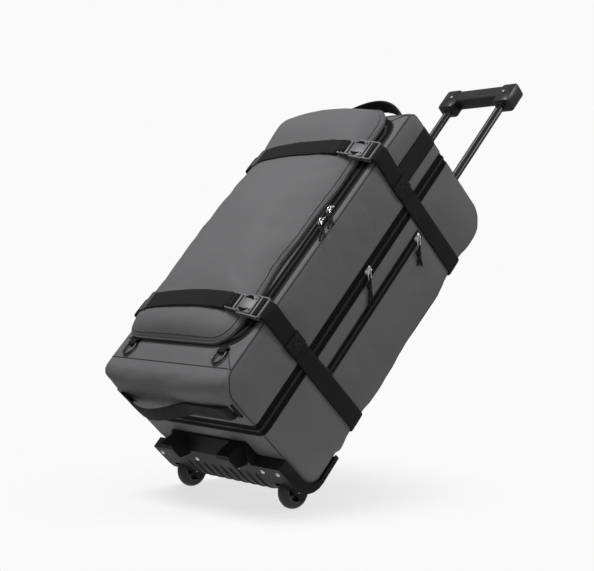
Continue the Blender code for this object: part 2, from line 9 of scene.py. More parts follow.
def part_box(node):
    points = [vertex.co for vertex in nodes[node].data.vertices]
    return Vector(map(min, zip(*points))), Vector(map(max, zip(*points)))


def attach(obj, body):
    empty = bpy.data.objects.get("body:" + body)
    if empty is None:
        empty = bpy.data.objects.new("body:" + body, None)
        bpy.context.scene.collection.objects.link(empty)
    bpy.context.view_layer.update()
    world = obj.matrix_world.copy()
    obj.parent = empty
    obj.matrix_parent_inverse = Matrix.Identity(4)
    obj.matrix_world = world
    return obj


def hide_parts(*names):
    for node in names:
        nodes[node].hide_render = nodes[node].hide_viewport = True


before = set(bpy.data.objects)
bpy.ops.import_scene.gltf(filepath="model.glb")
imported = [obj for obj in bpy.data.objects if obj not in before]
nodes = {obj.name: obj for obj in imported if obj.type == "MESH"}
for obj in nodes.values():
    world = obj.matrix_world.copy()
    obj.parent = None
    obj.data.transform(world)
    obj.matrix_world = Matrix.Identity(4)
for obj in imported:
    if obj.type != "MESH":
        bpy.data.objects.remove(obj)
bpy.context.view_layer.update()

up = Vector((0, 0, 1))
front = Vector((0, -1, 0))
rightward = Vector((1, 0, 0))

# ---- camera, light and floor ----

stageSetup = {
    "cameraPlace": (1.7694, -1.2122, -0.6855),
    "cameraTarget": (0.1475, -0.1014, 0.3022),
    "lens": 74.875,
    "lean": 43.9,  # the bag rests on its wheels, tipped back by this many degrees
    "floorRadius": 2.6,
    "worldSeen": 0.955,
    "worldLight": 0.29,
}
leaning = math.radians(stageSetup["lean"])
skyward = Vector((0, -math.sin(leaning), math.cos(leaning)))


def aimed(place, target, upward):
    # a matrix at place whose -Z looks at target, level against upward
    back = (Vector(place) - Vector(target)).normalized()
    across = upward.cross(back).normalized()
    turned = Matrix((across, back.cross(across), back)).transposed().to_4x4()
    turned.translation = Vector(place)
    return turned


def addCamera():
    camera = bpy.data.objects.new("camera", bpy.data.cameras.new("camera"))
    bpy.context.scene.collection.objects.link(camera)
    camera.data.lens = stageSetup["lens"]
    camera.data.sensor_width = 36
    camera.data.clip_start = 0.05
    camera.matrix_world = aimed(stageSetup["cameraPlace"], stageSetup["cameraTarget"], skyward)
    bpy.context.scene.camera = camera


def addSoftLight(name, place, target, size, power, tint=(1, 1, 1)):
    light = bpy.data.objects.new(name, bpy.data.lights.new(name, "AREA"))
    bpy.context.scene.collection.objects.link(light)
    light.data.shape = "DISK"
    light.data.size = size
    light.data.energy = power
    light.data.color = tint
    light.matrix_world = aimed(place, target, Vector((0.3, 0.2, 0.93)))


def addStage():
    world = bpy.data.worlds.new("studio")
    bpy.context.scene.world = world
    world.use_nodes = True
    background = world.node_tree.nodes["Background"]
    background.inputs["Color"].default_value = (1, 1, 1, 1)
    paths = world.node_tree.nodes.new("ShaderNodeLightPath")
    strength = world.node_tree.nodes.new("ShaderNodeMapRange")
    strength.inputs["To Min"].default_value = stageSetup["worldLight"]
    strength.inputs["To Max"].default_value = stageSetup["worldSeen"]
    world.node_tree.links.new(paths.outputs["Is Camera Ray"], strength.inputs["Value"])
    world.node_tree.links.new(strength.outputs["Result"], background.inputs["Strength"])
    bpy.context.scene.view_settings.view_transform = "Standard"

    wheelLow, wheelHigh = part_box("wheel_tyre_right")
    hubCentre = (wheelLow + wheelHigh) / 2
    touch = Vector((0, hubCentre.y, hubCentre.z)) - skyward * (wheelHigh.z - wheelLow.z) / 2
    bm = bmesh.new()
    bmesh.ops.create_circle(bm, cap_ends=True, segments=64, radius=stageSetup["floorRadius"])
    turn = up.rotation_difference(skyward).to_matrix()
    bmesh.ops.rotate(bm, matrix=turn, verts=bm.verts)
    bmesh.ops.translate(bm, vec=touch - skyward * 0.0005, verts=bm.verts)
    mesh = bpy.data.meshes.new("floor")
    bm.to_mesh(mesh)
    bm.free()
    floor = bpy.data.objects.new("floor", mesh)
    bpy.context.scene.collection.objects.link(floor)
    mesh.materials.append(floorMaterial(touch))

    middle = Vector((0, 0, 0.38))
    sideways = rightward
    toCamera = (Vector(stageSetup["cameraPlace"]) - middle).normalized()
    addSoftLight("key", middle + skyward * 1.5 + front * 1.7 - sideways * 0.5, middle, 1.3, 74)
    addSoftLight("rim", middle + up * 1.7 + sideways * 1.3, middle, 0.9, 12)
    addSoftLight("fill", middle + toCamera * 1.6 + sideways * 1.5 + skyward * 0.7, middle, 1.5, 14)


# ---- shader node groups ----


def newGroup(name, inputs, outputs):
    group = bpy.data.node_groups.new(name, "ShaderNodeTree")
    for label, kind, value in inputs:
        socket = group.interface.new_socket(label, in_out="INPUT", socket_type=kind)
        if value is not None:
            socket.default_value = value
    for label, kind in outputs:
        group.interface.new_socket(label, in_out="OUTPUT", socket_type=kind)
    return group, group.nodes.new("NodeGroupInput"), group.nodes.new("NodeGroupOutput")


def mathNode(tree, operation, first, second=None, third=None):
    node = tree.nodes.new("ShaderNodeMath")
    node.operation = operation
    for socket, value in zip(node.inputs, (first, second, third)):
        if value is None:
            continue
        if isinstance(value, (int, float)):
            socket.default_value = value
        else:
            tree.links.new(value, socket)
    return node.outputs[0]


def clothWeaveGroup():
    # crossing threads on any panel that faces along an axis
    group, enter, leave = newGroup(
        "clothWeave",
        [("Vector", "NodeSocketVector", None), ("Threads", "NodeSocketFloat", 6000.0)],
        [("Height", "NodeSocketFloat")],
    )
    scaled = group.nodes.new("ShaderNodeVectorMath")
    scaled.operation = "SCALE"
    waves = group.nodes.new("ShaderNodeVectorMath")
    waves.operation = "SINE"
    total = group.nodes.new("ShaderNodeVectorMath")
    total.operation = "DOT_PRODUCT"
    total.inputs[1].default_value = (0.33, 0.33, 0.33)
    group.links.new(enter.outputs["Vector"], scaled.inputs[0])
    group.links.new(enter.outputs["Threads"], scaled.inputs["Scale"])
    group.links.new(scaled.outputs[0], waves.inputs[0])
    group.links.new(waves.outputs[0], total.inputs[0])
    group.links.new(total.outputs["Value"], leave.inputs["Height"])
    return group


def webbingWeaveGroup():
    # ribs along a strap whose UV map is in metres, u along it and v across
    group, enter, leave = newGroup(
        "webbingWeave",
        [
            ("UV", "NodeSocketVector", None),
            ("Rib", "NodeSocketFloat", 3400.0),
            ("Pick", "NodeSocketFloat", 2600.0),
        ],
        [("Height", "NodeSocketFloat"), ("Shade", "NodeSocketFloat")],
    )
    split = group.nodes.new("ShaderNodeSeparateXYZ")
    group.links.new(enter.outputs["UV"], split.inputs[0])
    across = mathNode(group, "SINE", mathNode(group, "MULTIPLY", split.outputs["Y"], enter.outputs["Rib"]))
    along = mathNode(group, "MULTIPLY", split.outputs["X"], enter.outputs["Pick"])
    bent = mathNode(group, "MULTIPLY", across, 1.3)
    chevron = mathNode(group, "SINE", mathNode(group, "ADD", along, bent))
    halves = [mathNode(group, "MULTIPLY", wave, 0.5) for wave in (chevron, across)]
    height = mathNode(group, "ADD", *halves)
    group.links.new(height, leave.inputs["Height"])
    shade = mathNode(group, "MULTIPLY_ADD", height, 0.25, 0.5)
    group.links.new(shade, leave.inputs["Shade"])
    return group


def mottleGroup():
    # slow colour drift and fine grain, both from 0 to 1
    group, enter, leave = newGroup(
        "mottle",
        [
            ("Vector", "NodeSocketVector", None),
            ("Drift", "NodeSocketFloat", 9.0),
            ("Grain", "NodeSocketFloat", 900.0),
        ],
        [("Drift", "NodeSocketFloat"), ("Grain", "NodeSocketFloat")],
    )
    for label, detail in (("Drift", 3.0), ("Grain", 2.0)):
        pattern = group.nodes.new("ShaderNodeTexNoise")
        pattern.inputs["Detail"].default_value = detail
        group.links.new(enter.outputs["Vector"], pattern.inputs["Vector"])
        group.links.new(enter.outputs[label], pattern.inputs["Scale"])
        group.links.new(pattern.outputs["Fac"], leave.inputs[label])
    return group


def edgeWearAndHighlightGroup():
    # a mask that is 1 on sharp outer edges, broken up by noise: partly rubbed wear, partly a painted
    # highlight along the edges
    group, enter, leave = newGroup(
        "edgeWearAndHighlight",
        [("Vector", "NodeSocketVector", None), ("Amount", "NodeSocketFloat", 0.5)],
        [("Mask", "NodeSocketFloat")],
    )
    geometry = group.nodes.new("ShaderNodeNewGeometry")
    ramp = group.nodes.new("ShaderNodeMapRange")
    ramp.inputs["From Min"].default_value = 0.52
    ramp.inputs["From Max"].default_value = 0.62
    group.links.new(geometry.outputs["Pointiness"], ramp.inputs["Value"])
    breakup = group.nodes.new("ShaderNodeTexNoise")
    breakup.inputs["Scale"].default_value = 140
    group.links.new(enter.outputs["Vector"], breakup.inputs["Vector"])
    mask = mathNode(group, "MULTIPLY", ramp.outputs["Result"], breakup.outputs["Fac"])
    mask = mathNode(group, "MULTIPLY", mask, enter.outputs["Amount"])
    group.links.new(mask, leave.inputs["Mask"])
    return group


groups = {
    "cloth": clothWeaveGroup(),
    "webbing": webbingWeaveGroup(),
    "mottle": mottleGroup(),
    "wearAndHighlight": edgeWearAndHighlightGroup(),
}


# ---- materials ----


def newMaterial(name, roughness, metallic=0.0, coat=0.0, sheen=0.0, specular=0.5):
    material = bpy.data.materials.new(name)
    material.use_nodes = True
    shader = material.node_tree.nodes["Principled BSDF"]
    shader.inputs["Roughness"].default_value = roughness
    shader.inputs["Metallic"].default_value = metallic
    shader.inputs["Coat Weight"].default_value = coat
    shader.inputs["Coat Roughness"].default_value = 0.2
    shader.inputs["Sheen Weight"].default_value = sheen
    shader.inputs["Sheen Roughness"].default_value = 0.5
    shader.inputs["Specular IOR Level"].default_value = specular
    return material, material.node_tree, shader


def placeGroup(tree, key, vector, **values):
    node = tree.nodes.new("ShaderNodeGroup")
    node.node_tree = groups[key]
    tree.links.new(vector, node.inputs[0])
    for label, value in values.items():
        node.inputs[label].default_value = value
    return node


def mixColours(tree, factor, first, second):
    node = tree.nodes.new("ShaderNodeMix")
    node.data_type = "RGBA"
    tree.links.new(factor, node.inputs["Factor"])
    for label, value in (("A", first), ("B", second)):
        socket = [s for s in node.inputs if s.name == label and s.type == "RGBA"][0]
        if isinstance(value, tuple):
            socket.default_value = (*value, 1)
        else:
            tree.links.new(value, socket)
    return [s for s in node.outputs if s.type == "RGBA"][0]


def addBump(tree, shader, height, strength, distance, before=None):
    bump = tree.nodes.new("ShaderNodeBump")
    bump.inputs["Strength"].default_value = strength
    bump.inputs["Distance"].default_value = distance
    tree.links.new(height, bump.inputs["Height"])
    if before:
        tree.links.new(before, bump.inputs["Normal"])
    tree.links.new(bump.outputs["Normal"], shader.inputs["Normal"])
    return bump.outputs["Normal"]


def objectCoords(tree):
    return tree.nodes.new("ShaderNodeTexCoord").outputs["Object"]


def spreadRoughness(tree, shader, value, low, high):
    spread = tree.nodes.new("ShaderNodeMapRange")
    spread.inputs["To Min"].default_value = low
    spread.inputs["To Max"].default_value = high
    tree.links.new(value, spread.inputs["Value"])
    tree.links.new(spread.outputs["Result"], shader.inputs["Roughness"])


def clothMaterial(name, light, dark, roughness, threads, bump, sheen):
    material, tree, shader = newMaterial(name, roughness, sheen=sheen, specular=0.2)
    place = objectCoords(tree)
    mottle = placeGroup(tree, "mottle", place, Drift=7.0, Grain=1400.0)
    weave = placeGroup(tree, "cloth", place, Threads=threads)
    tone = mixColours(tree, mottle.outputs["Drift"], dark, light)
    deep, bright = tuple(c * 0.86 for c in dark), tuple(c * 1.12 for c in light)
    speckle = mixColours(tree, mottle.outputs["Grain"], deep, bright)
    both = tree.nodes.new("ShaderNodeMix")
    both.data_type = "RGBA"
    both.inputs["Factor"].default_value = 0.35
    colourInputs = [s for s in both.inputs if s.type == "RGBA"]
    tree.links.new(tone, colourInputs[0])
    tree.links.new(speckle, colourInputs[1])
    tree.links.new([s for s in both.outputs if s.type == "RGBA"][0], shader.inputs["Base Color"])
    spreadRoughness(tree, shader, mottle.outputs["Drift"], roughness - 0.06, roughness + 0.1)
    crinkle = tree.nodes.new("ShaderNodeTexNoise")
    crinkle.inputs["Scale"].default_value = 38
    crinkle.inputs["Detail"].default_value = 4
    tree.links.new(place, crinkle.inputs["Vector"])
    soft = addBump(tree, shader, crinkle.outputs["Fac"], 0.22, 0.004)
    addBump(tree, shader, weave.outputs["Height"], bump, 0.0004, soft)
    return material


def webbingMaterial(name, light, dark, rib, pick, shine=0.14):
    material, tree, shader = newMaterial(name, 0.72, sheen=0.02, specular=shine)
    flat = tree.nodes.new("ShaderNodeTexCoord").outputs["UV"]
    weave = placeGroup(tree, "webbing", flat, Rib=rib, Pick=pick)
    mottle = placeGroup(tree, "mottle", objectCoords(tree), Drift=24.0, Grain=1100.0)
    tone = mixColours(tree, weave.outputs["Shade"], dark, light)
    worn = mixColours(tree, mottle.outputs["Drift"], tone, tuple(c * 1.25 for c in light))
    tree.links.new(worn, shader.inputs["Base Color"])
    spreadRoughness(tree, shader, mottle.outputs["Grain"], 0.6, 0.82)
    addBump(tree, shader, weave.outputs["Height"], 0.8, 0.0006)
    return material


def mouldedMaterial(name, light, dark, roughness, grain, coat=0.0, wearAndHighlight=0.5, bump=0.25, shine=0.35):
    material, tree, shader = newMaterial(name, roughness, coat=coat, specular=shine)
    place = objectCoords(tree)
    mottle = placeGroup(tree, "mottle", place, Drift=14.0, Grain=grain)
    edges = placeGroup(tree, "wearAndHighlight", place, Amount=wearAndHighlight)
    tone = mixColours(tree, mottle.outputs["Drift"], dark, light)
    # edges turn much lighter where the mask is 1: partly worn edges, partly a painted highlight
    tree.links.new(
        mixColours(tree, edges.outputs["Mask"], tone, tuple(min(c * 2.6 + 0.02, 1) for c in light)),
        shader.inputs["Base Color"],
    )
    spreadRoughness(tree, shader, mottle.outputs["Drift"], roughness - 0.05, roughness + 0.08)
    addBump(tree, shader, mottle.outputs["Grain"], bump, 0.0004)
    return material


def metalMaterial(name, light, dark, roughness, coat=0.0, metallic=1.0):
    material, tree, shader = newMaterial(name, roughness, metallic=metallic, coat=coat)
    place = objectCoords(tree)
    mottle = placeGroup(tree, "mottle", place, Drift=60.0, Grain=1600.0)
    tree.links.new(mixColours(tree, mottle.outputs["Drift"], dark, light), shader.inputs["Base Color"])
    spreadRoughness(tree, shader, mottle.outputs["Grain"], roughness - 0.05, roughness + 0.07)
    addBump(tree, shader, mottle.outputs["Grain"], 0.05, 0.0002)
    return material


def floorMaterial(centre):
    # pale near the wheels, fading out, and clear when seen from underneath
    material, tree, shader = newMaterial("paleFloor", 0.9, specular=0.1)
    shader.inputs["Base Color"].default_value = (0.93, 0.93, 0.94, 1)
    place = tree.nodes.new("ShaderNodeTexCoord").outputs["Object"]
    distance = tree.nodes.new("ShaderNodeVectorMath")
    distance.operation = "DISTANCE"
    distance.inputs[1].default_value = centre
    tree.links.new(place, distance.inputs[0])
    fade = tree.nodes.new("ShaderNodeMapRange")
    fade.interpolation_type = "SMOOTHSTEP"
    fade.inputs["From Min"].default_value = 0.16
    fade.inputs["From Max"].default_value = 0.55
    tree.links.new(distance.outputs["Value"], fade.inputs["Value"])
    geometry = tree.nodes.new("ShaderNodeNewGeometry")
    hidden = mathNode(tree, "MAXIMUM", geometry.outputs["Backfacing"], fade.outputs["Result"])
    clear = tree.nodes.new("ShaderNodeBsdfTransparent")
    mix = tree.nodes.new("ShaderNodeMixShader")
    glow = tree.nodes.new("ShaderNodeEmission")
    glow.inputs["Strength"].default_value = stageSetup["worldSeen"]
    pale = tree.nodes.new("ShaderNodeMixShader")
    pale.inputs[0].default_value = 0.72
    tree.links.new(shader.outputs[0], pale.inputs[1])
    tree.links.new(glow.outputs[0], pale.inputs[2])
    tree.links.new(hidden, mix.inputs[0])
    tree.links.new(pale.outputs[0], mix.inputs[1])
    tree.links.new(clear.outputs[0], mix.inputs[2])
    output = [n for n in tree.nodes if n.type == "OUTPUT_MATERIAL"][0]
    tree.links.new(mix.outputs[0], output.inputs["Surface"])
    return material


finishes = {
    "shell": clothMaterial(
        "coatedShell", (0.140, 0.140, 0.145), (0.108, 0.108, 0.112), 0.58, 6200, 0.3, 0.03
    ),
    "hem": clothMaterial("shellHem", (0.105, 0.105, 0.109), (0.080, 0.080, 0.084), 0.5, 6200, 0.35, 0.03),
    "lining": clothMaterial("lining", (0.07, 0.07, 0.076), (0.05, 0.05, 0.055), 0.6, 5200, 0.5, 0.2),
    "webbing": webbingMaterial("strapWebbing", (0.011, 0.011, 0.012), (0.003, 0.003, 0.0034), 2600, 1900),
    "tape": webbingMaterial("zipTape", (0.0050, 0.0050, 0.0054), (0.0010, 0.0010, 0.0012), 1900, 4200, 0.07),
    "cord": webbingMaterial("pullCord", (0.016, 0.016, 0.018), (0.005, 0.005, 0.006), 4000, 3600),
    "coil": mouldedMaterial("zipCoil", (0.024, 0.024, 0.026), (0.014, 0.014, 0.015), 0.42, 2000, bump=0.1),
    "thread": mouldedMaterial("thread", (0.030, 0.030, 0.032), (0.018, 0.018, 0.02), 0.6, 2200),
    "seam": mouldedMaterial("seamShadow", (0.022, 0.022, 0.024), (0.014, 0.014, 0.015), 0.7, 1800),
    # painted shadow: near black, for the shaded openings of the buckle windows
    "windowShadow": mouldedMaterial(
        "buckleWindowShadow", (0.004, 0.004, 0.0045), (0.002, 0.002, 0.0023), 0.7, 1500, shine=0.05
    ),
    "buckle": mouldedMaterial(
        "acetal", (0.088, 0.088, 0.093), (0.068, 0.068, 0.073), 0.4, 1500, 0.0, 0.7, 0.1, 0.35
    ),
    "base": mouldedMaterial(
        "mouldedBase", (0.006, 0.006, 0.0066), (0.0035, 0.0035, 0.004), 0.5, 1300, 0.0, 0.4, 0.2, 0.14
    ),
    "grip": mouldedMaterial(
        "gripPlastic", (0.011, 0.011, 0.012), (0.006, 0.006, 0.007), 0.34, 1500, 0.2, 0.6, 0.2
    ),
    "hub": mouldedMaterial(
        "hubPlastic", (0.018, 0.018, 0.020), (0.010, 0.010, 0.011), 0.4, 1500, 0.1, 0.5, 0.2
    ),
    "tyre": mouldedMaterial(
        "tyreRubber", (0.012, 0.012, 0.013), (0.006, 0.006, 0.007), 0.55, 1700, 0.0, 0.3, 0.3
    ),
    "chrome": metalMaterial("nickel", (0.86, 0.86, 0.88), (0.70, 0.70, 0.72), 0.14),
    "steel": metalMaterial("brightSteel", (0.70, 0.70, 0.72), (0.50, 0.50, 0.52), 0.28),
    "tube": metalMaterial("blackTube", (0.035, 0.035, 0.038), (0.018, 0.018, 0.020), 0.27, 0.3, 0.85),
}
print("materials made")


# ---- mesh helpers ----


def addPiece(name, bm, finish, body, angle=40, replaced=()):
    mesh = bpy.data.meshes.new(name)
    bm.to_mesh(mesh)
    bm.free()
    mesh.shade_smooth()
    mesh.set_sharp_from_angle(angle=math.radians(angle))
    mesh.materials.append(finishes[finish])
    obj = bpy.data.objects.new(name, mesh)
    bpy.context.scene.collection.objects.link(obj)
    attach(obj, body)
    if replaced:
        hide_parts(*replaced)
    return obj


def coatNode(node, finish):
    # a CAD solid that stays as it is takes its own material
    nodes[node].data.materials.clear()
    nodes[node].data.materials.append(finishes[finish])


def thicken(obj, thickness, offset=-1.0):
    wall = obj.modifiers.new("thickness", "SOLIDIFY")
    wall.thickness = thickness
    wall.offset = offset
    wall.use_even_offset = True


def roundEdges(obj, width, segments=2, angle=30):
    bevel = obj.modifiers.new("roundEdges", "BEVEL")
    bevel.width = width
    bevel.segments = segments
    bevel.limit_method = "ANGLE"
    bevel.angle_limit = math.radians(angle)
    bevel.use_clamp_overlap = True
    bevel.harden_normals = False


def gridBm(along, across, place, size=(1.0, 1.0)):
    # a sheet of quads set out by place(u, v), with u and v from 0 to 1 and a UV map in metres
    bm = bmesh.new()
    bmesh.ops.create_grid(bm, x_segments=along, y_segments=across, size=0.5, calc_uvs=True)
    flat = bm.loops.layers.uv.verify()
    for face in bm.faces:
        for loop in face.loops:
            loop[flat].uv = ((loop.vert.co.x + 0.5) * size[0], (loop.vert.co.y + 0.5) * size[1])
    for vert in bm.verts:
        vert.co = place(vert.co.x + 0.5, vert.co.y + 0.5)
    return bm


def curveThrough(points, step):
    # evenly spaced points on a smooth curve through the given ones
    points = [Vector(p) for p in points]
    ends = [points[0] * 2 - points[1], *points, points[-1] * 2 - points[-2]]
    fine = []
    for a, b, c, d in zip(ends, ends[1:], ends[2:], ends[3:]):
        for i in range(16):
            t = i / 16
            square = (2 * a - 5 * b + 4 * c - d) * t**2
            cube = (3 * b - a - 3 * c + d) * t**3
            fine.append(0.5 * (2 * b + (c - a) * t + square + cube))
    fine.append(points[-1])
    return evenly(fine, step)


def evenly(points, step):
    lengths = [0.0]
    for a, b in zip(points, points[1:]):
        lengths.append(lengths[-1] + (b - a).length)
    count = max(2, round(lengths[-1] / step))
    spaced = []
    j = 0
    for i in range(count + 1):
        wanted = lengths[-1] * i / count
        while j < len(points) - 2 and lengths[j + 1] < wanted:
            j += 1
        span = max(lengths[j + 1] - lengths[j], 1e-9)
        spaced.append(points[j].lerp(points[j + 1], min(max((wanted - lengths[j]) / span, 0), 1)))
    return spaced


def lengthOf(points):
    return sum((b - a).length for a, b in zip(points, points[1:]))


def tangents(points, closed=False):
    if closed:
        return [(points[(i + 1) % len(points)] - points[i - 1]).normalized() for i in range(len(points))]
    ends = [points[0], *points, points[-1]]
    return [(ends[i + 2] - ends[i]).normalized() for i in range(len(points))]


def sweep(points, outward, width, profile, closed=False):
    # a strip along points. outward(i) is its face normal, and profile(v) its height at v from -1 to 1
    count = len(points)
    runs = tangents(points, closed)
    rows = count if closed else count - 1
    length = lengthOf(points)

    def place(u, v):
        i = min(round(u * rows), rows) % count
        normal = outward(i).normalized()
        side = normal.cross(runs[i]).normalized()
        spread = 2 * v - 1
        height, stretch = profile(spread) if callable(profile) else (0.0, spread)
        return points[i] + side * (stretch * width / 2) + normal * height

    bm = gridBm(rows, profileColumns.get(profile, 8), place, (length, width))
    if closed:
        bmesh.ops.remove_doubles(bm, verts=bm.verts, dist=1e-6)
    return bm


profileColumns = {}


def tubeBm(points, radius, sides=8, closed=False, squeeze=1.0):
    # a round bar along points, its ends capped; radius may be a function of the share along it
    runs = tangents(points, closed)
    reference = Vector((0.31, 0.17, 0.93)) if abs(runs[0].z) < 0.9 else Vector((0.93, 0.17, 0.31))
    sidesways = []
    last = reference
    for run in runs:
        last = (last - run * last.dot(run)).normalized()
        sidesways.append(last)
    count = len(points)
    rows = count if closed else count - 1
    size = radius if callable(radius) else (lambda share: radius)

    def place(u, v):
        i = min(round(u * rows), rows) % count
        angle = math.tau * v
        a, b = sidesways[i], runs[i].cross(sidesways[i])
        return points[i] + (a * math.cos(angle) * squeeze + b * math.sin(angle)) * size(u)

    length = lengthOf(points)
    bm = gridBm(rows, sides, place, (length, math.tau * size(0.5)))
    bmesh.ops.remove_doubles(bm, verts=bm.verts, dist=1e-7)
    if not closed:
        rims = [e for e in bm.edges if e.is_boundary]
        bmesh.ops.holes_fill(bm, edges=rims, sides=0)
    bmesh.ops.recalc_face_normals(bm, faces=bm.faces)
    return bm


def addTo(bm, other):
    # moves other's mesh into bm
    mesh = bpy.data.meshes.new("moving")
    other.to_mesh(mesh)
    other.free()
    bm.from_mesh(mesh)
    bpy.data.meshes.remove(mesh)


def bevelEdges(bm, edges, offset, segments):
    bmesh.ops.bevel(
        bm, geom=edges, offset=offset, segments=segments, profile=0.5, affect="EDGES", material=-1
    )


def boxBm(low, high, bevel=0.0, segments=2):
    low, high = Vector(low), Vector(high)
    bm = bmesh.new()
    bmesh.ops.create_cube(bm, size=1.0)
    bmesh.ops.scale(bm, vec=high - low, verts=bm.verts)
    bmesh.ops.translate(bm, vec=(low + high) / 2, verts=bm.verts)
    if bevel:
        bevelEdges(bm, bm.edges[:], bevel, segments)
    return bm


def discBm(radius, low, high, axis, sides=24, bevel=0.0, segments=2):
    # a round disc or pin between two points along axis
    bm = bmesh.new()
    low, high = Vector(low), Vector(high)
    bmesh.ops.create_cone(
        bm, cap_ends=True, segments=sides, radius1=radius, radius2=radius, depth=(high - low).length
    )
    if bevel:
        rims = [e for e in bm.edges if e.calc_face_angle(0) > 1]
        bevelEdges(bm, rims, bevel, segments)
    turn = up.rotation_difference(Vector(axis)).to_matrix()
    bmesh.ops.rotate(bm, matrix=turn, verts=bm.verts)
    bmesh.ops.translate(bm, vec=(low + high) / 2, verts=bm.verts)
    return bm


def turnedBm(profile, centre, axis=rightward, steps=48):
    # (radius, offset) pairs spun about an axis through centre
    bm = bmesh.new()
    corners = [bm.verts.new((radius, 0, offset)) for radius, offset in profile]
    edges = [bm.edges.new(pair) for pair in zip(corners, corners[1:] + corners[:1])]
    bmesh.ops.spin(
        bm,
        geom=corners + edges,
        cent=(0, 0, 0),
        axis=(0, 0, 1),
        angle=math.tau,
        steps=steps,
        use_merge=True,
    )
    bmesh.ops.recalc_face_normals(bm, faces=bm.faces)
    turn = up.rotation_difference(Vector(axis)).to_matrix()
    bmesh.ops.rotate(bm, matrix=turn, verts=bm.verts)
    bmesh.ops.translate(bm, vec=Vector(centre), verts=bm.verts)
    return bm


def refinedNode(node, finish, body, bevel, segments=2, angle=28, name=None):
    # a CAD solid with its triangles merged and its edges rounded
    bm = bmesh.new()
    bm.from_mesh(nodes[node].data)
    bmesh.ops.remove_doubles(bm, verts=bm.verts, dist=1e-6)
    bmesh.ops.dissolve_limit(bm, angle_limit=math.radians(1), verts=bm.verts, edges=bm.edges)
    obj = addPiece(name or node + "_shape", bm, finish, body, 35, (node,))
    roundEdges(obj, bevel, segments, angle)
    return obj


def stitchesBm(points, normalAt, pitch=0.0042, length=0.0028, width=0.0007, lift=0.0003):
    # a row of short threads along points
    bm = bmesh.new()
    row = evenly(points, pitch)
    runs = tangents(row)
    for place, run in zip(row, runs):
        normal = normalAt(place)
        side = normal.cross(run).normalized()
        turn = Matrix((run * length, side * width, normal * width)).transposed().to_4x4()
        turn.translation = place + normal * lift
        bmesh.ops.create_cube(bm, size=1.0, matrix=turn)
    return bm


def roundedOutline(left, right, low, high, radius, step):
    # evenly spaced (x, z) points round a rectangle with round corners, from the middle of its left side
    corners = (
        ((left + radius, high - radius), 180),
        ((right - radius, high - radius), 90),
        ((right - radius, low + radius), 0),
        ((left + radius, low + radius), 270),
    )
    points = [Vector((left, 0, (low + high) / 2))]
    for (x, z), start in corners:
        for i in range(9):
            turn = math.radians(start - 90 * i / 8)
            points.append(Vector((x + radius * math.cos(turn), 0, z + radius * math.sin(turn))))
    points.append(points[0].copy())
    return evenly(points, step)[:-1]


# ---- the sewn shell ----

shell = {
    "voxel": 0.0056,
    "rim": 0.010,
    "bottomFront": 0.018,
    "topFront": 0.022,
    "topBack": 0.042,
    "bottomBack": 0.030,
    "sidePuff": 0.0065,
    "endPuff": 0.0045,
    "footPuff": 0.005,
    "backPuff": 0.003,
    "wall": 0.0022,
    "pressure": 1.2,
    "cap": 0.004,
    "mouthInset": 0.022,
    "lip": 0.0015,
    "seamRadius": 0.0011,
}
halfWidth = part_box("front_right_side_panel")[1].x
frameLow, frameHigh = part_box("front_panel_frame")
frontY = frameLow.y
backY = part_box("back_panel")[1].y
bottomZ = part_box("front_bottom_panel")[0].z
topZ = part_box("front_top_panel")[1].z
bottomSeamZ = frameLow.z
topSeamZ = frameHigh.z
zipLow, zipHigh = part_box("main_zipper_tape")
zipY = (zipLow.y + zipHigh.y) / 2
zipHalf = (zipHigh.y - zipLow.y) / 2
pocketLow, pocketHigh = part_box("pocket_zipper_tape")
pocketY = (pocketLow.y + pocketHigh.y) / 2
lidLow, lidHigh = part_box("lid_panel")
tapeLow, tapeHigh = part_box("lid_zipper_tape")
strapZ = {}
for key in ("upper", "lower"):
    low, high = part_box(key + "_side_strap")
    strapZ[key] = (low.z + high.z) / 2
strapWidth = 0.038
ringLow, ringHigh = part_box("d_ring_right")
ringPlace = ((ringLow.x + ringHigh.x) / 2, ringHigh.z)
strapThickness = 0.0019
webbingY = -0.070


def smoothFall(distance, reach):
    return math.exp(-((max(distance, 0.0) / reach) ** 2))


def seamDistance(place):
    # how far a point of the shell is from the nearest thing that holds it in
    x, y, z = abs(place.x), place.y, place.z
    onSide = x > halfWidth - 0.012
    onFront = y < frontY + 0.010
    onBack = y > backY - 0.012
    holds = [abs(y - zipY) - zipHalf - 0.002]
    holds.append(math.hypot(x - halfWidth + 0.003, y - frontY - 0.004))
    if onSide:
        holds.append(z - bottomZ - 0.006)
        holds.append(topZ - 0.006 - z)
    if onSide or onBack:
        holds += [abs(z - height) - strapWidth / 2 + 0.001 for height in strapZ.values()]
    if place.x > halfWidth - 0.012:
        along = max(pocketLow.z - z, z - pocketHigh.z, 0.0)
        holds.append(math.hypot(max(abs(y - pocketY) - 0.008, 0), along))
        if z > strapZ["upper"]:
            holds.append(abs(y - webbingY) - strapWidth / 2)
    if onFront:
        holds.append(abs(z - bottomSeamZ))
        holds.append(abs(z - topSeamZ))
        holds.append(math.hypot(x - ringPlace[0], z - ringPlace[1]) - 0.016)
        if tapeLow.z - 0.012 < z < tapeHigh.z + 0.012:
            holds.append(0.0)
    if y > 0.012 and z < bottomZ + 0.012:
        holds.append(0.0)
    if onBack and z < 0.135:
        holds.append(0.0)
    if z > topZ - 0.01 and y > 0.085 and x < 0.105:
        holds.append(0.0)
    return max(min(holds), 0.0)


def puffHeight(place):
    if abs(place.x) > halfWidth - 0.012:
        return shell["sidePuff"]
    if place.y > backY - 0.012:
        return shell["backPuff"]
    if place.z < bottomZ + 0.06 and place.y < zipY:
        return shell["footPuff"]
    return shell["endPuff"]


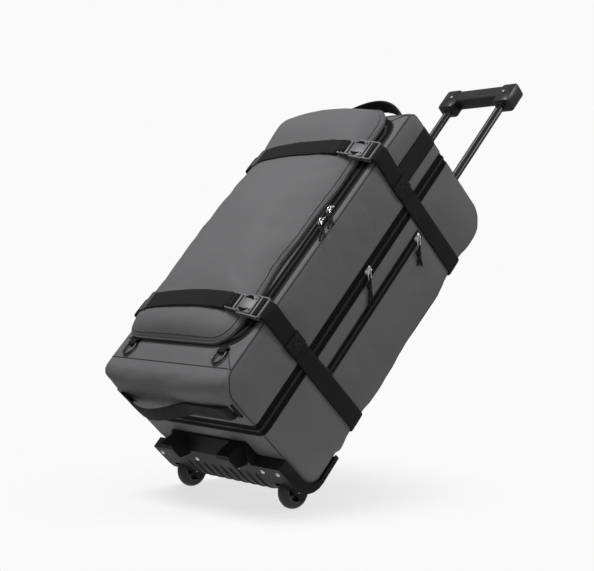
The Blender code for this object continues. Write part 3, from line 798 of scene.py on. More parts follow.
def shellForm():
    # the bag as one rounded box, dense enough to bend
    bm = bmesh.new()
    bmesh.ops.create_cube(bm, size=1.0)
    bmesh.ops.scale(bm, vec=(2 * halfWidth, backY - frontY, topZ - bottomZ), verts=bm.verts)
    bmesh.ops.translate(bm, vec=(0, (backY + frontY) / 2, (topZ + bottomZ) / 2), verts=bm.verts)
    radii = {
        (False, False): shell["bottomFront"],
        (False, True): shell["topFront"],
        (True, False): shell["bottomBack"],
        (True, True): shell["topBack"],
    }
    for (atBack, atTop), radius in radii.items():
        found = []
        for edge in bm.edges:
            a, b = (v.co for v in edge.verts)
            if abs(a.x - b.x) < 0.3 or abs(a.y - b.y) + abs(a.z - b.z) > 1e-4:
                continue
            y, z = backY if atBack else frontY, topZ if atTop else bottomZ
            if abs(a.y - y) < 1e-4 and abs(a.z - z) < 1e-4:
                found.append(edge)
        bevelEdges(bm, found, radius, 8)
    rims = [e for e in bm.edges if abs(e.verts[0].co.x - e.verts[1].co.x) < 1e-5]
    bevelEdges(bm, rims, shell["rim"], 5)
    mesh = bpy.data.meshes.new("shellForm")
    bm.to_mesh(mesh)
    bm.free()
    form = bpy.data.objects.new("shellForm", mesh)
    bpy.context.scene.collection.objects.link(form)
    remesh = form.modifiers.new("even", "REMESH")
    remesh.mode = "VOXEL"
    remesh.voxel_size = shell["voxel"]
    return form


def evaluatedMesh(obj):
    graph = bpy.context.evaluated_depsgraph_get()
    return bpy.data.meshes.new_from_object(obj.evaluated_get(graph))


def bakedMesh(obj, name):
    # the object's evaluated mesh on its own, and the object removed
    mesh = evaluatedMesh(obj)
    mesh.name = name
    bpy.data.objects.remove(obj)
    return mesh


def settleCloth(mesh, pinned, pressure, cap, growth=0.0, frames=18):
    # lets a mesh swell as cloth, held where pinned is 1, and moves no point further than cap
    scene = bpy.context.scene
    cloth = bpy.data.objects.new("cloth", mesh)
    scene.collection.objects.link(cloth)
    group = cloth.vertex_groups.new(name="pinned")
    for i, weight in enumerate(pinned):
        group.add([i], weight, "REPLACE")
    modifier = cloth.modifiers.new("cloth", "CLOTH")
    settings = modifier.settings
    settings.quality = 4
    settings.mass = 0.3
    settings.tension_stiffness = 12
    settings.compression_stiffness = 12
    settings.shear_stiffness = 5
    settings.bending_stiffness = 0.8
    settings.use_pressure = True
    settings.uniform_pressure_force = pressure
    settings.vertex_group_mass = "pinned"
    settings.shrink_min = -growth
    settings.effector_weights.gravity = 0
    modifier.collision_settings.use_collision = False
    before = [v.co.copy() for v in mesh.vertices]
    for number in range(1, frames + 1):
        scene.frame_set(number)
    graph = bpy.context.evaluated_depsgraph_get()
    settled = cloth.evaluated_get(graph).to_mesh()
    after = [v.co.copy() for v in settled.vertices]
    cloth.modifiers.remove(modifier)
    bpy.data.objects.remove(cloth)
    for vertex, old, new in zip(mesh.vertices, before, after):
        move = new - old
        if move.length > cap:
            move *= cap / move.length
        vertex.co = old + move
    scene.frame_set(1)


def calm(mesh, pinned, times):
    # irons out the finest creases where the cloth hangs free
    bm = bmesh.new()
    bm.from_mesh(mesh)
    bm.verts.ensure_lookup_table()
    free = [v for v, hold in zip(bm.verts, pinned) if hold < 0.4 and not v.is_boundary]
    for _ in range(times):
        bmesh.ops.smooth_vert(bm, verts=free, factor=0.5, use_axis_x=True, use_axis_y=True, use_axis_z=True)
    bm.to_mesh(mesh)
    bm.free()


def sewShell():
    mesh = bakedMesh(shellForm(), "shellMesh")
    pinned = []
    for vertex in mesh.vertices:
        away = seamDistance(vertex.co)
        puff = puffHeight(vertex.co) * (1 - smoothFall(away, 0.030))
        drift = noise.noise(vertex.co * 11) * 0.0016 + noise.noise(vertex.co * 27) * 0.0006
        rise = puff + drift * (1 - smoothFall(away, 0.020))
        vertex.co += vertex.normal * rise
        pinned.append(smoothFall(away, 0.010))
    settleCloth(mesh, pinned, shell["pressure"], shell["cap"], 0.005)
    calm(mesh, pinned, 3)
    return mesh


shellMesh = sewShell()
shellTree = BVHTree.FromPolygons(
    [v.co.copy() for v in shellMesh.vertices], [tuple(p.vertices) for p in shellMesh.polygons]
)
print("shell settled", len(shellMesh.polygons))


def onShell(place, lift=0.0):
    near, normal, _, _ = shellTree.find_nearest(place)
    return near + normal * lift


def shellNormal(place):
    return shellTree.find_nearest(place)[1]


def cutAway(bm, point, normal):
    bmesh.ops.bisect_plane(
        bm,
        geom=bm.verts[:] + bm.edges[:] + bm.faces[:],
        plane_co=point,
        plane_no=normal,
        clear_outer=True,
    )


def onFrontFace(face):
    return face.normal.y < -0.8 and face.calc_center_median().y < frontY + 0.01


def openMouth(bm):
    # the opening behind the lid: cut round its edge, then emptied
    inset = shell["mouthInset"]
    left, right = lidLow.x + inset, lidHigh.x - inset
    low, high = lidLow.z + inset, lidHigh.z - inset
    for at, way in (
        ((left, 0, 0), (1, 0, 0)),
        ((right, 0, 0), (1, 0, 0)),
        ((0, 0, low), (0, 0, 1)),
        ((0, 0, high), (0, 0, 1)),
    ):
        faces = [f for f in bm.faces if onFrontFace(f)]
        geometry = faces + list({e for f in faces for e in f.edges})
        geometry += list({v for f in faces for v in f.verts})
        bmesh.ops.bisect_plane(bm, geom=geometry, plane_co=at, plane_no=way)
    inside = []
    for face in bm.faces:
        centre = face.calc_center_median()
        if onFrontFace(face) and left < centre.x < right and low < centre.z < high:
            inside.append(face)
    bmesh.ops.delete(bm, geom=inside, context="FACES")


def buildShell():
    lip = zipHalf + shell["lip"]
    sides = ("left_side_panel", "right_side_panel")
    halves = {
        "front": (-lip, 1, (*sides, "panel_frame", "bottom_panel", "top_panel")),
        "rear": (lip, -1, (*sides, "bottom_panel", "top_panel")),
    }
    for key, (shift, way, panels) in halves.items():
        bm = bmesh.new()
        bm.from_mesh(shellMesh)
        cutAway(bm, (0, zipY + shift, 0), (0, way, 0))
        replaced = [f"{key}_{panel}" for panel in panels]
        if key == "front":
            openMouth(bm)
        else:
            replaced.append("back_panel")
        obj = addPiece(f"{key}Shell", bm, "shell", "bag", 60, replaced)
        thicken(obj, shell["wall"])


buildShell()


def seamPath(points, lift=0.0, step=0.005):
    return [onShell(p, lift) for p in curveThrough(points, step)]


def addSeam(name, points):
    addPiece(name, tubeBm(seamPath(points, 0.0001), shell["seamRadius"], 6), "seam", "bag")


def addStitches(name, points, normalAt, body):
    addPiece(name, stitchesBm(points, normalAt), "thread", body)


def sewSeams():
    edgeX = halfWidth - 0.0035
    edgeY = frontY + 0.0035
    zipFront, zipRear = zipY - zipHalf, zipY + zipHalf
    bottom = [(edgeY, bottomSeamZ), (frontY + 0.013, 0.062), (frontY + 0.036, bottomZ + 0.003)]
    bottom += [(frontY + 0.07, bottomZ), (zipFront, bottomZ)]
    back = [(zipRear, topZ), (0.09, topZ), (0.13, topZ - 0.006), (backY, topZ - 0.05)]
    back += [(backY, 0.5), (backY, 0.3), (backY, 0.14)]
    routes = {
        "Edge": [(edgeY, z) for z in (bottomSeamZ, 0.2, 0.35, 0.5, 0.62, topSeamZ)],
        "Bottom": bottom,
        "RearBottom": [(zipRear, bottomZ), (0.03, bottomZ), (0.06, bottomZ)],
        "Top": [(edgeY, topSeamZ), (frontY + 0.02, topZ), (zipFront, topZ)],
        "Back": back,
    }
    for sign, label in ((1, "right"), (-1, "left")):
        for key, route in routes.items():
            addSeam(f"{label}{key}Seam", [(sign * edgeX, y, z) for y, z in route])
        row = seamPath([(sign * edgeX, y, z) for y, z in routes["Edge"]])
        row = [p - rightward * sign * 0.006 for p in row]
        addStitches(f"{label}EdgeStitches", row, shellNormal, "bag")
    for name, height in (("bottomFrontSeam", bottomSeamZ), ("topFrontSeam", topSeamZ)):
        addSeam(name, [(x, frontY, height) for x in (-edgeX, 0, edgeX)])
    addSeam("lowerMitre", [(0.111, frontY, 0.150), (0.140, frontY, 0.119), (edgeX, frontY, bottomSeamZ)])
    addSeam("upperMitre", [(0.096, frontY, 0.678), (0.137, frontY, 0.699), (edgeX, frontY, topSeamZ)])


sewSeams()
print("seams sewn")


# ---- zips ----

zips = {
    "toothPitch": 0.0025,
    "tooth": (0.0026, 0.0012, 0.0011),
    "toothReach": 0.0014,
    "tapeStep": 0.005,
    "pocketWidth": 0.0195,
    "lidWidth": 0.029,
    "welt": 0.0012,
}


def tapeProfile(spread):
    # a zip seen end on: two woven ribs each side of the coil, from -1 to 1 across
    away = abs(spread)
    height = 0.0
    ribs = ((0.0, 0.22, 0.0011), (0.42, 0.05, 0.0006), (0.58, 0.05, 0.0006), (0.76, 0.05, 0.0005))
    for rib, wide, tall in ribs:
        height = max(height, tall * smoothFall(abs(away - rib), wide))
    return height, spread


profileColumns[tapeProfile] = 44


def coilBm(points, outward, closed, lift):
    # two rows of coil turns, leaning towards each other
    bm = bmesh.new()
    pitch = zips["toothPitch"]
    length, width, height = zips["tooth"]
    row = evenly(points + [points[0]] if closed else points, pitch)
    for place, run in zip(row, tangents(row)):
        normal = outward(place).normalized()
        side = normal.cross(run).normalized()
        for sign in (1, -1):
            lean = (side * 0.0026 + run * 0.0007 * sign).normalized()
            cross = normal.cross(lean)
            turn = Matrix((lean * length, cross * width, normal * height)).transposed().to_4x4()
            half = pitch / 2 if sign > 0 else 0
            turn.translation = place + side * (sign * zips["toothReach"]) + normal * lift + run * half
            bmesh.ops.create_cube(bm, size=1.0, matrix=turn)
    return bm


def addTape(key, path, outward, width, thickness, closed=False):
    strip = sweep(path, outward, width, tapeProfile, closed)
    tape = addPiece(f"{key}ZipTape", strip, "tape", "bag", 60, (f"{key}_zipper_tape",))
    thicken(tape, thickness)


def addWelt(name, path, radius=zips["welt"], closed=False):
    addPiece(name, tubeBm(path, radius, 8, closed), "seam", "bag", 60)


def buildMainZip():
    inset = 0.0016
    left, right = -halfWidth + inset, halfWidth - inset
    low, high = bottomZ + inset, topZ - inset
    outline = roundedOutline(left, right, low, high, shell["rim"] - 0.003, zips["tapeStep"])
    path = [Vector((p.x, zipY, p.z)) for p in outline]
    across = Vector((0, 1, 0))
    normals = [across.cross(run) for run in tangents(path, True)]
    if normals[0].x > 0:
        normals = [-n for n in normals]
    addTape("main", path, lambda i: normals[i], 2 * zipHalf + 0.008, 0.0008, True)
    lookup = {}

    def outward(place):
        key = (round(place.x, 4), round(place.z, 4))
        if key not in lookup:
            best = min(range(len(path)), key=lambda i: (path[i] - place).length_squared)
            lookup[key] = normals[best]
        return lookup[key]

    addPiece("mainZipCoil", coilBm(path, outward, True, 0.0013), "coil", "bag", 30)
    for sign, label in ((-1, "Front"), (1, "Rear")):
        edge = roundedOutline(-halfWidth, halfWidth, bottomZ, topZ, shell["rim"], 0.006)
        y = zipY + sign * (zipHalf + 0.002)
        rim = [onShell(Vector((p.x, y, p.z)), -0.0010) for p in edge]
        addWelt(f"mainZip{label}Welt", rim, closed=True)


def buildPocketZip():
    x = pocketLow.x
    low, high = pocketLow.z, pocketHigh.z
    path = [Vector((x, pocketY, low + (high - low) * i / 60)) for i in range(61)]
    addTape("pocket", path, lambda i: rightward, zips["pocketWidth"], 0.0006)
    addPiece("pocketZipCoil", coilBm(path, lambda p: rightward, False, 0.0012), "coil", "bag", 30)
    for sign, label in ((-1, "Front"), (1, "Rear")):
        y = pocketY + sign * 0.0096
        rim = [(x - 0.0006, y, z) for z in (low - 0.004, low + 0.02, 0.35, 0.5, high + 0.004)]
        addWelt(f"pocketZip{label}Welt", curveThrough(rim, 0.006))
    for z, label in ((low - 0.002, "Low"), (high + 0.002, "High")):
        bar = [(x, pocketY - 0.008, z), (x, pocketY, z), (x, pocketY + 0.008, z)]
        addWelt(f"pocketZip{label}Bartack", curveThrough(bar, 0.002), 0.0013)


def buildLidZip():
    # three sides of a rounded rectangle: the fourth runs off past the hinge and is dropped
    inset = 0.010
    left, right = lidLow.x - 0.1, tapeHigh.x - inset + 0.003
    low, high = tapeLow.z + inset, tapeHigh.z - inset
    outline = roundedOutline(left, right, low, high, 0.038, zips["tapeStep"])
    path = [Vector((p.x, tapeLow.y, p.z)) for p in outline if p.x > lidLow.x + 0.010]
    addTape("lid", path, lambda i: front, zips["lidWidth"], 0.0006)
    addPiece("lidZipCoil", coilBm(path, lambda p: front, False, 0.0012), "coil", "bag", 30)
    right, low, high = tapeHigh.x + 0.0070, tapeLow.z - 0.003, tapeHigh.z + 0.003
    edge = roundedOutline(left, right, low, high, 0.050, 0.006)
    rim = [Vector((p.x, frontY - 0.0012, p.z)) for p in edge if p.x > lidLow.x + 0.006]
    addWelt("lidZipWelt", rim, 0.0011)


buildMainZip()
buildPocketZip()
buildLidZip()
print("zips made")


# ---- the lid ----

lid = {
    "corner": 0.045,
    "skirt": 0.006,
    "crown": 0.0235,
    "reach": 0.026,
    "strapDip": 0.0022,
    "puff": 0.0085,
    "dome": 0.0095,
    "topPuff": 0.006,
    "topReach": 0.017,
    "edgePull": 0.010,
    "wall": 0.003,
    "hemWidth": 0.0065,
    "pressure": 1.4,
    "cap": 0.004,
}


def lidEdgeDistance(x, z):
    # how far in from the lid's rounded outline
    left, right, low, high, r = lidLow.x, lidHigh.x, lidLow.z, lidHigh.z, lid["corner"]
    dx = min(x - left, right - x)
    dz = min(z - low, high - z)
    if dx < r and dz < r:
        return max(r - math.hypot(r - dx, r - dz), 0.0)
    return max(min(dx, dz), 0.0)


def lidRise(x, z):
    away = lidEdgeDistance(x, z)
    rise = lid["skirt"] + lid["crown"] * (1 - math.exp(-away / lid["reach"]))
    for height in strapZ.values():
        rise -= lid["strapDip"] * smoothFall(abs(z - height) - 0.012, 0.016) * min(away / 0.03, 1)
    spread = min(away / 0.034, 1)
    spread = spread * spread * (3 - 2 * spread) * min((lidHigh.x - x) / 0.10, 1)
    between = min(abs(z - height) for height in strapZ.values())
    fullness = 0.3 if z < strapZ["lower"] else 1.0
    rise += lid["puff"] * fullness * spread * (1 - smoothFall(between - 0.012, 0.075))
    overTop = min(max((z - strapZ["upper"] - 0.020) / 0.035, 0), 1)
    dome = 1 - ((x - (lidLow.x + lidHigh.x) / 2) / ((lidHigh.x - lidLow.x) / 2)) ** 2
    rise += (lid["dome"] + lid["topPuff"] * overTop) * max(dome, 0) * min(away / 0.016, 1)
    ripple = noise.noise(Vector((x * 9, z * 9, 1.7))) * 0.0022
    ripple += noise.noise(Vector((x * 24, z * 24, 5.1))) * 0.0007
    return rise + ripple * min(away / 0.02, 1)


def lidWarp(x, z):
    # the upper end reaches over the bag's end, and the zipped edge pulls in between the straps
    middle = 1 - 0.55 * ((x - (lidLow.x + lidHigh.x) / 2) / ((lidHigh.x - lidLow.x) / 2)) ** 2
    stretch = min(max((z - strapZ["upper"] - 0.022) / (lidHigh.z - strapZ["upper"] - 0.022), 0), 1)
    weight = min(max((x - 0.03) / (lidHigh.x - 0.03), 0), 1) ** 2
    pull = lid["edgePull"] * math.exp(-(((z - 0.34) / 0.11) ** 2)) + 0.0018 * math.sin(z * 46)
    return x - pull * weight, z + lid["topReach"] * middle * stretch**1.4


def lidPlace(u, v):
    # a rectangle whose corner squares are drawn in to quarter circles
    x = lidLow.x + (lidHigh.x - lidLow.x) * u
    z = lidLow.z + (lidHigh.z - lidLow.z) * v
    r = lid["corner"]
    dx, dz = min(x - lidLow.x, lidHigh.x - x), min(z - lidLow.z, lidHigh.z - z)
    if dx < r and dz < r:
        a, b = r - dx, r - dz
        squeeze = max(a, b) / math.hypot(a, b)
        a, b = a * squeeze, b * squeeze
        x = lidLow.x + r - a if x < 0 else lidHigh.x - r + a
        z = lidLow.z + r - b if z < 0.4 else lidHigh.z - r + b
    rise = lidRise(x, z)
    x, z = lidWarp(x, z)
    return Vector((x, lidHigh.y - rise, z))


def buildLid():
    bm = gridBm(72, 132, lidPlace, (lidHigh.x - lidLow.x, lidHigh.z - lidLow.z))
    bm.normal_update()
    if sum(f.normal.y for f in bm.faces) > 0:
        bmesh.ops.reverse_faces(bm, faces=bm.faces)
    mesh = bpy.data.meshes.new("lidMesh")
    bm.to_mesh(mesh)
    bm.free()
    pinned = []
    for vertex in mesh.vertices:
        x, z = vertex.co.x, vertex.co.z
        hold = smoothFall(lidEdgeDistance(x, z), 0.008)
        for height in strapZ.values():
            hold = max(hold, smoothFall(abs(z - height) - 0.016, 0.008))
        pinned.append(hold)
    settleCloth(mesh, pinned, lid["pressure"], lid["cap"], 0.005)
    calm(mesh, pinned, 6)
    bm = bmesh.new()
    bm.from_mesh(mesh)
    # the edge turns down to the zip
    rims = [e for e in bm.edges if e.is_boundary]
    pushed = bmesh.ops.extrude_edge_only(bm, edges=rims)["geom"]
    corners = [v for v in pushed if isinstance(v, bmesh.types.BMVert)]
    for vertex in corners:
        vertex.co.y = lidHigh.y - 0.0004
    bmesh.ops.recalc_face_normals(bm, faces=bm.faces)
    if sum(f.normal.y for f in bm.faces) > 0:
        bmesh.ops.reverse_faces(bm, faces=bm.faces)
    tree = BVHTree.FromBMesh(bm)
    obj = addPiece("lidPanel", bm, "shell", "lid", 60, ("lid_panel",))
    thicken(obj, lid["wall"])
    return tree


lidTree = buildLid()
print("lid made")


def onLid(x, z):
    # the point of the lid in front of x, z, and its outward normal
    hit, normal, _, _ = lidTree.ray_cast(Vector((x, -0.4, z)), Vector((0, 1, 0)))
    if hit is None:
        return Vector((x, lidHigh.y - lid["skirt"], z)), front
    if normal.y > 0:
        normal = -normal
    return hit, normal


def buildLidTrim():
    step = 0.005
    outline = roundedOutline(lidLow.x, lidHigh.x, lidLow.z, lidHigh.z, lid["corner"], step)
    rim = []
    for x, z in (lidWarp(p.x, p.z) for p in outline):
        rim.append(Vector((x, lidHigh.y - lid["skirt"] - 0.0004, z)))
    addPiece("lidBinding", tubeBm(rim, 0.0016, 8, True), "hem", "lid", 60)
    inset = lid["hemWidth"]
    left, right = lidLow.x + inset, lidHigh.x - inset
    low, high = lidLow.z + inset, lidHigh.z - inset
    outline = roundedOutline(left, right, low, high, lid["corner"] - inset, step)
    row = [onLid(*lidWarp(p.x, p.z))[0] for p in outline]
    addPiece("lidHemSeam", tubeBm(row, 0.0006, 6, True), "seam", "lid", 60)
    row.append(row[0])
    addStitches("lidHemStitches", [p + front * 0.0004 for p in row], lambda p: front, "lid")


buildLidTrim()


# ---- straps ----

straps = {"joint": (-0.075, -0.040), "buckleEnd": 0.0985, "sag": {"upper": 0.014, "lower": 0.020}}


def strapProfile(spread):
    # webbing is a little thinner at its selvedges
    return 0.00035 * (1 - spread**4), spread


profileColumns[strapProfile] = 12


def facing(path, axis):
    # the face normals of a strip along path that lies flat about axis
    runs = tangents(path)
    return lambda i: runs[i].cross(axis)


def addStrap(name, path, outward, body, width=strapWidth, thickness=strapThickness, replaced=()):
    obj = addPiece(name, sweep(path, outward, width, strapProfile), "webbing", body, 50, replaced)
    thicken(obj, thickness, 1.0)
    return obj


def easing(values, reach):
    # running mean, which keeps the ends
    out = []
    for i in range(len(values)):
        near = values[max(0, i - reach) : i + reach + 1]
        out.append(sum(near) / len(near))
    return out


def buildLidStrap(key):
    height = strapZ[key]
    start, end = lidLow.x + 0.0012, straps["buckleEnd"]
    count = 60
    xs = [start + (end - start) * i / count for i in range(count + 1)]
    heights = []
    for x in xs:
        share = (end - x) / (end - start)
        z = height - straps["sag"][key] * max(share - 0.15, 0) ** 1.6
        rows = [onLid(min(x, lidHigh.x - 0.003), z + dz)[0].y for dz in (-0.016, 0, 0.016)]
        heights.append((min(rows), z))
    ys = easing([h[0] for h in heights], 4)
    path = []
    for i, x in enumerate(xs):
        y = min(ys[i], heights[i][0]) - 0.0009
        if x > 0.070:
            blend = (x - 0.070) / (end - 0.070)
            y = y * (1 - blend) + (-0.1665) * blend
        path.append(Vector((x, y, heights[i][1])))
    path.insert(0, Vector((start - 0.0004, path[0].y + 0.006, path[0].z)))
    path = evenly(path, 0.004)
    addStrap(f"{key}LidStrap", path, facing(path, up), "lid", replaced=(f"{key}_lid_strap",))
    # the doubled end that loops through the tongue's bar
    loop = [p + Vector((0, -0.0020, 0)) for p in path if p.x > 0.060]
    addStrap(f"{key}LidStrapTail", loop, facing(loop, up), "lid", strapWidth - 0.0006)


def buildSideStrap(key):
    height = strapZ[key]
    out = halfWidth + 0.0014
    rim = shell["rim"]
    bend = [(0.1705, -0.1468), (0.1765, -0.1478), (0.1826, -0.1440), (0.1853, -0.1375), (0.1846, -0.1270)]
    bend += [(out + 0.0022, -0.105), (out + 0.0008, -0.080), (out, -0.055), (out, 0.0), (out, 0.08)]
    corner = backY + 0.0014
    turnY, nearY = backY - rim * 0.3, backY - rim - 0.004
    bend += [(out, nearY), (out - rim * 0.3, turnY), (out - rim - 0.004, corner)]
    bend += [(0.08, corner), (0, corner), (-0.08, corner)]
    bend += [(-out + rim + 0.004, corner), (-out + rim * 0.3, turnY), (-out, nearY)]
    bend += [(-out, 0.05), (-out, -0.05), (-out, -0.1), (-out + 0.0006, -0.126)]
    path = curveThrough([(x, y, height) for x, y in bend], 0.005)
    addStrap(f"{key}SideStrap", path, facing(path, up), "bag", replaced=(f"{key}_side_strap",))
    first, last = straps["joint"]
    lap = [p + rightward * 0.0021 for p in path if p.x > 0.16 and first < p.y < last]
    addStrap(f"{key}StrapLap", lap, facing(lap, up), "bag", strapWidth + 0.003)
    tail = [(lap[-1].x + 0.0003, last - 0.004, height), (lap[-1].x + 0.0006, last + 0.004, height)]
    tail += [(lap[-1].x + 0.002, last + 0.007, height - 0.001)]
    tail = curveThrough(tail, 0.003)
    addStrap(f"{key}StrapTab", tail, facing(tail, up), "bag", strapWidth - 0.004)
    z0, z1 = height - 0.014, height + 0.014
    x = lap[-1].x + strapThickness + 0.0004
    y0, y1 = first + 0.006, last - 0.006
    for label, a, b in (
        ("A", (x, y0, z0), (x, y1, z0)),
        ("B", (x, y0, z1), (x, y1, z1)),
        ("C", (x, y0, z0), (x, y0, z1)),
        ("D", (x, y1, z0), (x, y1, z1)),
        ("E", (x, y0, z0), (x, y1, z1)),
        ("F", (x, y0, z1), (x, y1, z0)),
    ):
        addStitches(f"{key}BoxStitch{label}", [Vector(a), Vector(b)], lambda p: rightward, "bag")


for key in strapZ:
    buildLidStrap(key)
    buildSideStrap(key)
print("straps laid")


# ---- buckles ----

buckle = {"angle": 14, "origin": (0.1365, -0.1580), "half": 0.023, "edge": 0.0009}


def buckleFrame(height):
    turn = Matrix.Rotation(math.radians(buckle["angle"]), 4, "Z")
    return Matrix.Translation(Vector((*buckle["origin"], height))) @ turn


def barsBm(boxes, bevel, segments=2):
    bm = bmesh.new()
    for low, high in boxes:
        addTo(bm, boxBm(low, high, bevel, segments))
    return bm


def buildBuckle(key):
    place = buckleFrame(strapZ[key])
    half = buckle["half"]
    wall = 0.0036
    edge = buckle["edge"]
    # the socket: a tray with two side walls, a back bar for the strap and a second cross bar
    boxes = [
        ((-0.006, 0.0022, -half), (0.032, 0.0044, half)),
        ((-0.006, -0.0052, half - 0.0030), (0.043, 0.0044, half)),
        ((-0.006, -0.0052, -half), (0.043, 0.0044, -half + 0.0030)),
        ((0.0235, -0.0048, -half), (0.0275, 0.0044, half)),
        ((0.0395, -0.0052, -half), (0.0430, 0.0010, half)),
    ]
    bm = barsBm(boxes, edge)
    bmesh.ops.transform(bm, matrix=place, verts=bm.verts)
    addPiece(f"{key}BuckleSocket", bm, "buckle", "bag", 40, (f"{key}_buckle_socket",))
    # the tongue: a bridge plate, two springy arms, and a ladder bar for the strap
    reach = half - 0.0045
    plate = [
        ((-0.0100, -0.0068, -reach), (0.0220, -0.0020, reach)),
        ((-0.0190, -0.0056, -reach), (-0.0145, 0.0008, reach)),
        ((-0.0275, -0.0056, -reach), (-0.0232, 0.0008, reach)),
        ((-0.0360, -0.0056, -reach), (-0.0316, 0.0008, reach)),
        ((-0.0360, -0.0050, reach - 0.0034), (-0.0060, 0.0004, reach)),
        ((-0.0360, -0.0050, -reach), (-0.0060, 0.0004, -reach + 0.0034)),
    ]
    bm = barsBm(plate, edge)
    for sign in (1, -1):
        arm = [(-0.010, -0.0036, sign * (reach - 0.001)), (0.000, -0.0040, sign * (reach + 0.0014))]
        arm += [(0.010, -0.0040, sign * (reach + 0.0010)), (0.020, -0.0036, sign * (reach - 0.001))]
        addTo(bm, tubeBm(curveThrough(arm, 0.002), 0.0015, 8))
    for i in range(7):
        z = -reach + 0.006 + i * (2 * reach - 0.012) / 6
        addTo(bm, boxBm((-0.0272, -0.0066, z - 0.0012), (-0.0236, -0.0052, z + 0.0012), 0.0003, 1))
    bmesh.ops.transform(bm, matrix=place, verts=bm.verts)
    addPiece(f"{key}BuckleTongue", bm, "buckle", "lid", 40, (f"{key}_buckle_tongue",))
    # the windows that the arms show through, drawn as flat near-black shapes: painted shadow in place of the
    # openings
    bm = bmesh.new()
    for sign in (1, -1):
        outline = ((-0.0062, 0.0108), (0.0010, 0.0142), (0.0080, 0.0138), (0.0140, 0.0092))
        eye = curveThrough([(x, -0.0064, sign * z) for x, z in outline], 0.0012)
        addTo(bm, tubeBm(eye, lambda share: 0.0006 + 0.0030 * math.sin(math.pi * share), 10))
        middle = sign * 0.0125
        addTo(bm, boxBm((0.0160, -0.0070, middle - 0.0022), (0.0190, -0.0060, middle + 0.0022), 0.0004, 1))
    bmesh.ops.translate(bm, vec=(0, 0.0064, 0), verts=bm.verts)
    bmesh.ops.scale(bm, vec=(1, 0.2, 1), verts=bm.verts)
    bmesh.ops.translate(bm, vec=(0, -0.0068, 0), verts=bm.verts)
    bmesh.ops.transform(bm, matrix=place, verts=bm.verts)
    addPiece(f"{key}BuckleWindowShadows", bm, "windowShadow", "lid", 40)
    # the strap where it turns round the socket's back bar
    points = [(0.0305, 0.0020, 0), (0.0300, -0.0016, 0), (0.0322, -0.0042, 0), (0.0352, -0.0042, 0)]
    points += [(0.0374, -0.0016, 0), (0.0385, 0.0015, 0)]
    path = [place @ p for p in curveThrough(points, 0.0015)]
    addStrap(f"{key}SocketLoop", path, facing(path, up), "bag", 2 * (half - wall) - 0.001, 0.0016)
    # the strap where it turns round the tongue's ladder bars
    points = [(-0.0395, -0.0022, 0), (-0.0345, -0.0064, 0), (-0.0295, -0.0046, 0), (-0.0256, -0.0070, 0)]
    points += [(-0.0215, -0.0040, 0), (-0.0185, 0.0005, 0)]
    path = [place @ p for p in curveThrough(points, 0.0015)]
    addStrap(f"{key}TongueLoop", path, facing(path, up), "lid", 2 * (reach - wall) - 0.001, 0.0014)


def buildAdjuster(key):
    low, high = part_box(key + "_strap_adjuster")
    x = (low.x + high.x) / 2
    z = strapZ[key] - 0.010
    surface, normal = onLid(x, z)
    run = up.cross(normal).normalized()
    turn = Matrix((run, -normal, run.cross(-normal))).transposed().to_4x4()
    turn.translation = surface + normal * 0.0048
    half = strapWidth / 2 + 0.003
    boxes = [
        ((-0.010, -0.0014, half - 0.003), (0.010, 0.0014, half)),
        ((-0.010, -0.0014, -half), (0.010, 0.0014, -half + 0.003)),
        ((-0.010, -0.0014, -half), (-0.0068, 0.0014, half)),
        ((-0.0018, -0.0018, -half), (0.0018, 0.0010, half)),
        ((0.0068, -0.0014, -half), (0.010, 0.0014, half)),
    ]
    bm = barsBm(boxes, 0.0007)
    bmesh.ops.transform(bm, matrix=turn, verts=bm.verts)
    addPiece(f"{key}StrapSlider", bm, "buckle", "lid", 40, (f"{key}_strap_adjuster",))


for key in strapZ:
    buildBuckle(key)
    buildAdjuster(key)
print("buckles made")


# ---- haul handles and rings ----

haul = {"width": 0.030, "thickness": 0.0042, "clearance": 0.007}


def haulPath(node, away):
    low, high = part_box(node)
    y = (low.y + high.y) / 2
    surface = topZ if away > 0 else bottomZ
    base = surface + away * haul["clearance"]
    rise = (high.z - low.z) - 0.005
    half = (high.x - low.x) / 2 - 0.004
    points = []
    for i in range(15):
        share = i / 14
        lift = rise * math.sin(math.pi * share) ** 0.8
        if away < 0:
            lift = 0.002 + rise * math.sin(math.pi * min(max((share - 0.35) / 0.65, 0), 1)) ** 1.3
        points.append(Vector((away * half * (2 * share - 1), y, base + away * lift)))
    for place, way in ((0, -1), (len(points), 1)):
        points.insert(place, Vector((away * way * (half + 0.008), y, surface + away * 0.0034)))
    return points, y, half


def buildHaulHandles():
    for which, away in (("top", 1), ("bottom", -1)):
        points, y, half = haulPath(f"{which}_haul_handle", away)
        path = curveThrough(points, 0.004)
        side = Vector((0, 1, 0))
        handle = addStrap(
            f"{which}HaulHandle",
            path,
            facing(path, side),
            f"{which}_haul_handle",
            haul["width"],
            haul["thickness"],
            (f"{which}_haul_handle",),
        )
        roundEdges(handle, 0.001, 2, 40)
        surface = topZ if away > 0 else bottomZ
        for sign, label in ((1, "Right"), (-1, "Left")):
            reach = halfWidth - 0.009
            height = surface + away * 0.0016
            tab = [(sign * x, y, height) for x in (half - 0.010, half + 0.006, reach)]
            route = curveThrough(tab, 0.003)
            if sign * away < 0:
                route.reverse()
            width = haul["width"] + 0.003
            addStrap(f"{which}Haul{label}Tab", route, facing(route, side), "bag", width, 0.0018)


def buildSideWebbing():
    y = webbingY
    rough = [(halfWidth, y, strapZ["upper"] + 0.012), (halfWidth, y, 0.66), (halfWidth, y, topZ - 0.02)]
    rough += [(halfWidth - 0.005, y, topZ - 0.005), (halfWidth - 0.022, y, topZ), (halfWidth - 0.05, y, topZ)]
    path = [onShell(p, 0.0004) for p in curveThrough(rough, 0.005)]
    addStrap("sideWebbing", path, facing(path, front), "bag", 0.040)


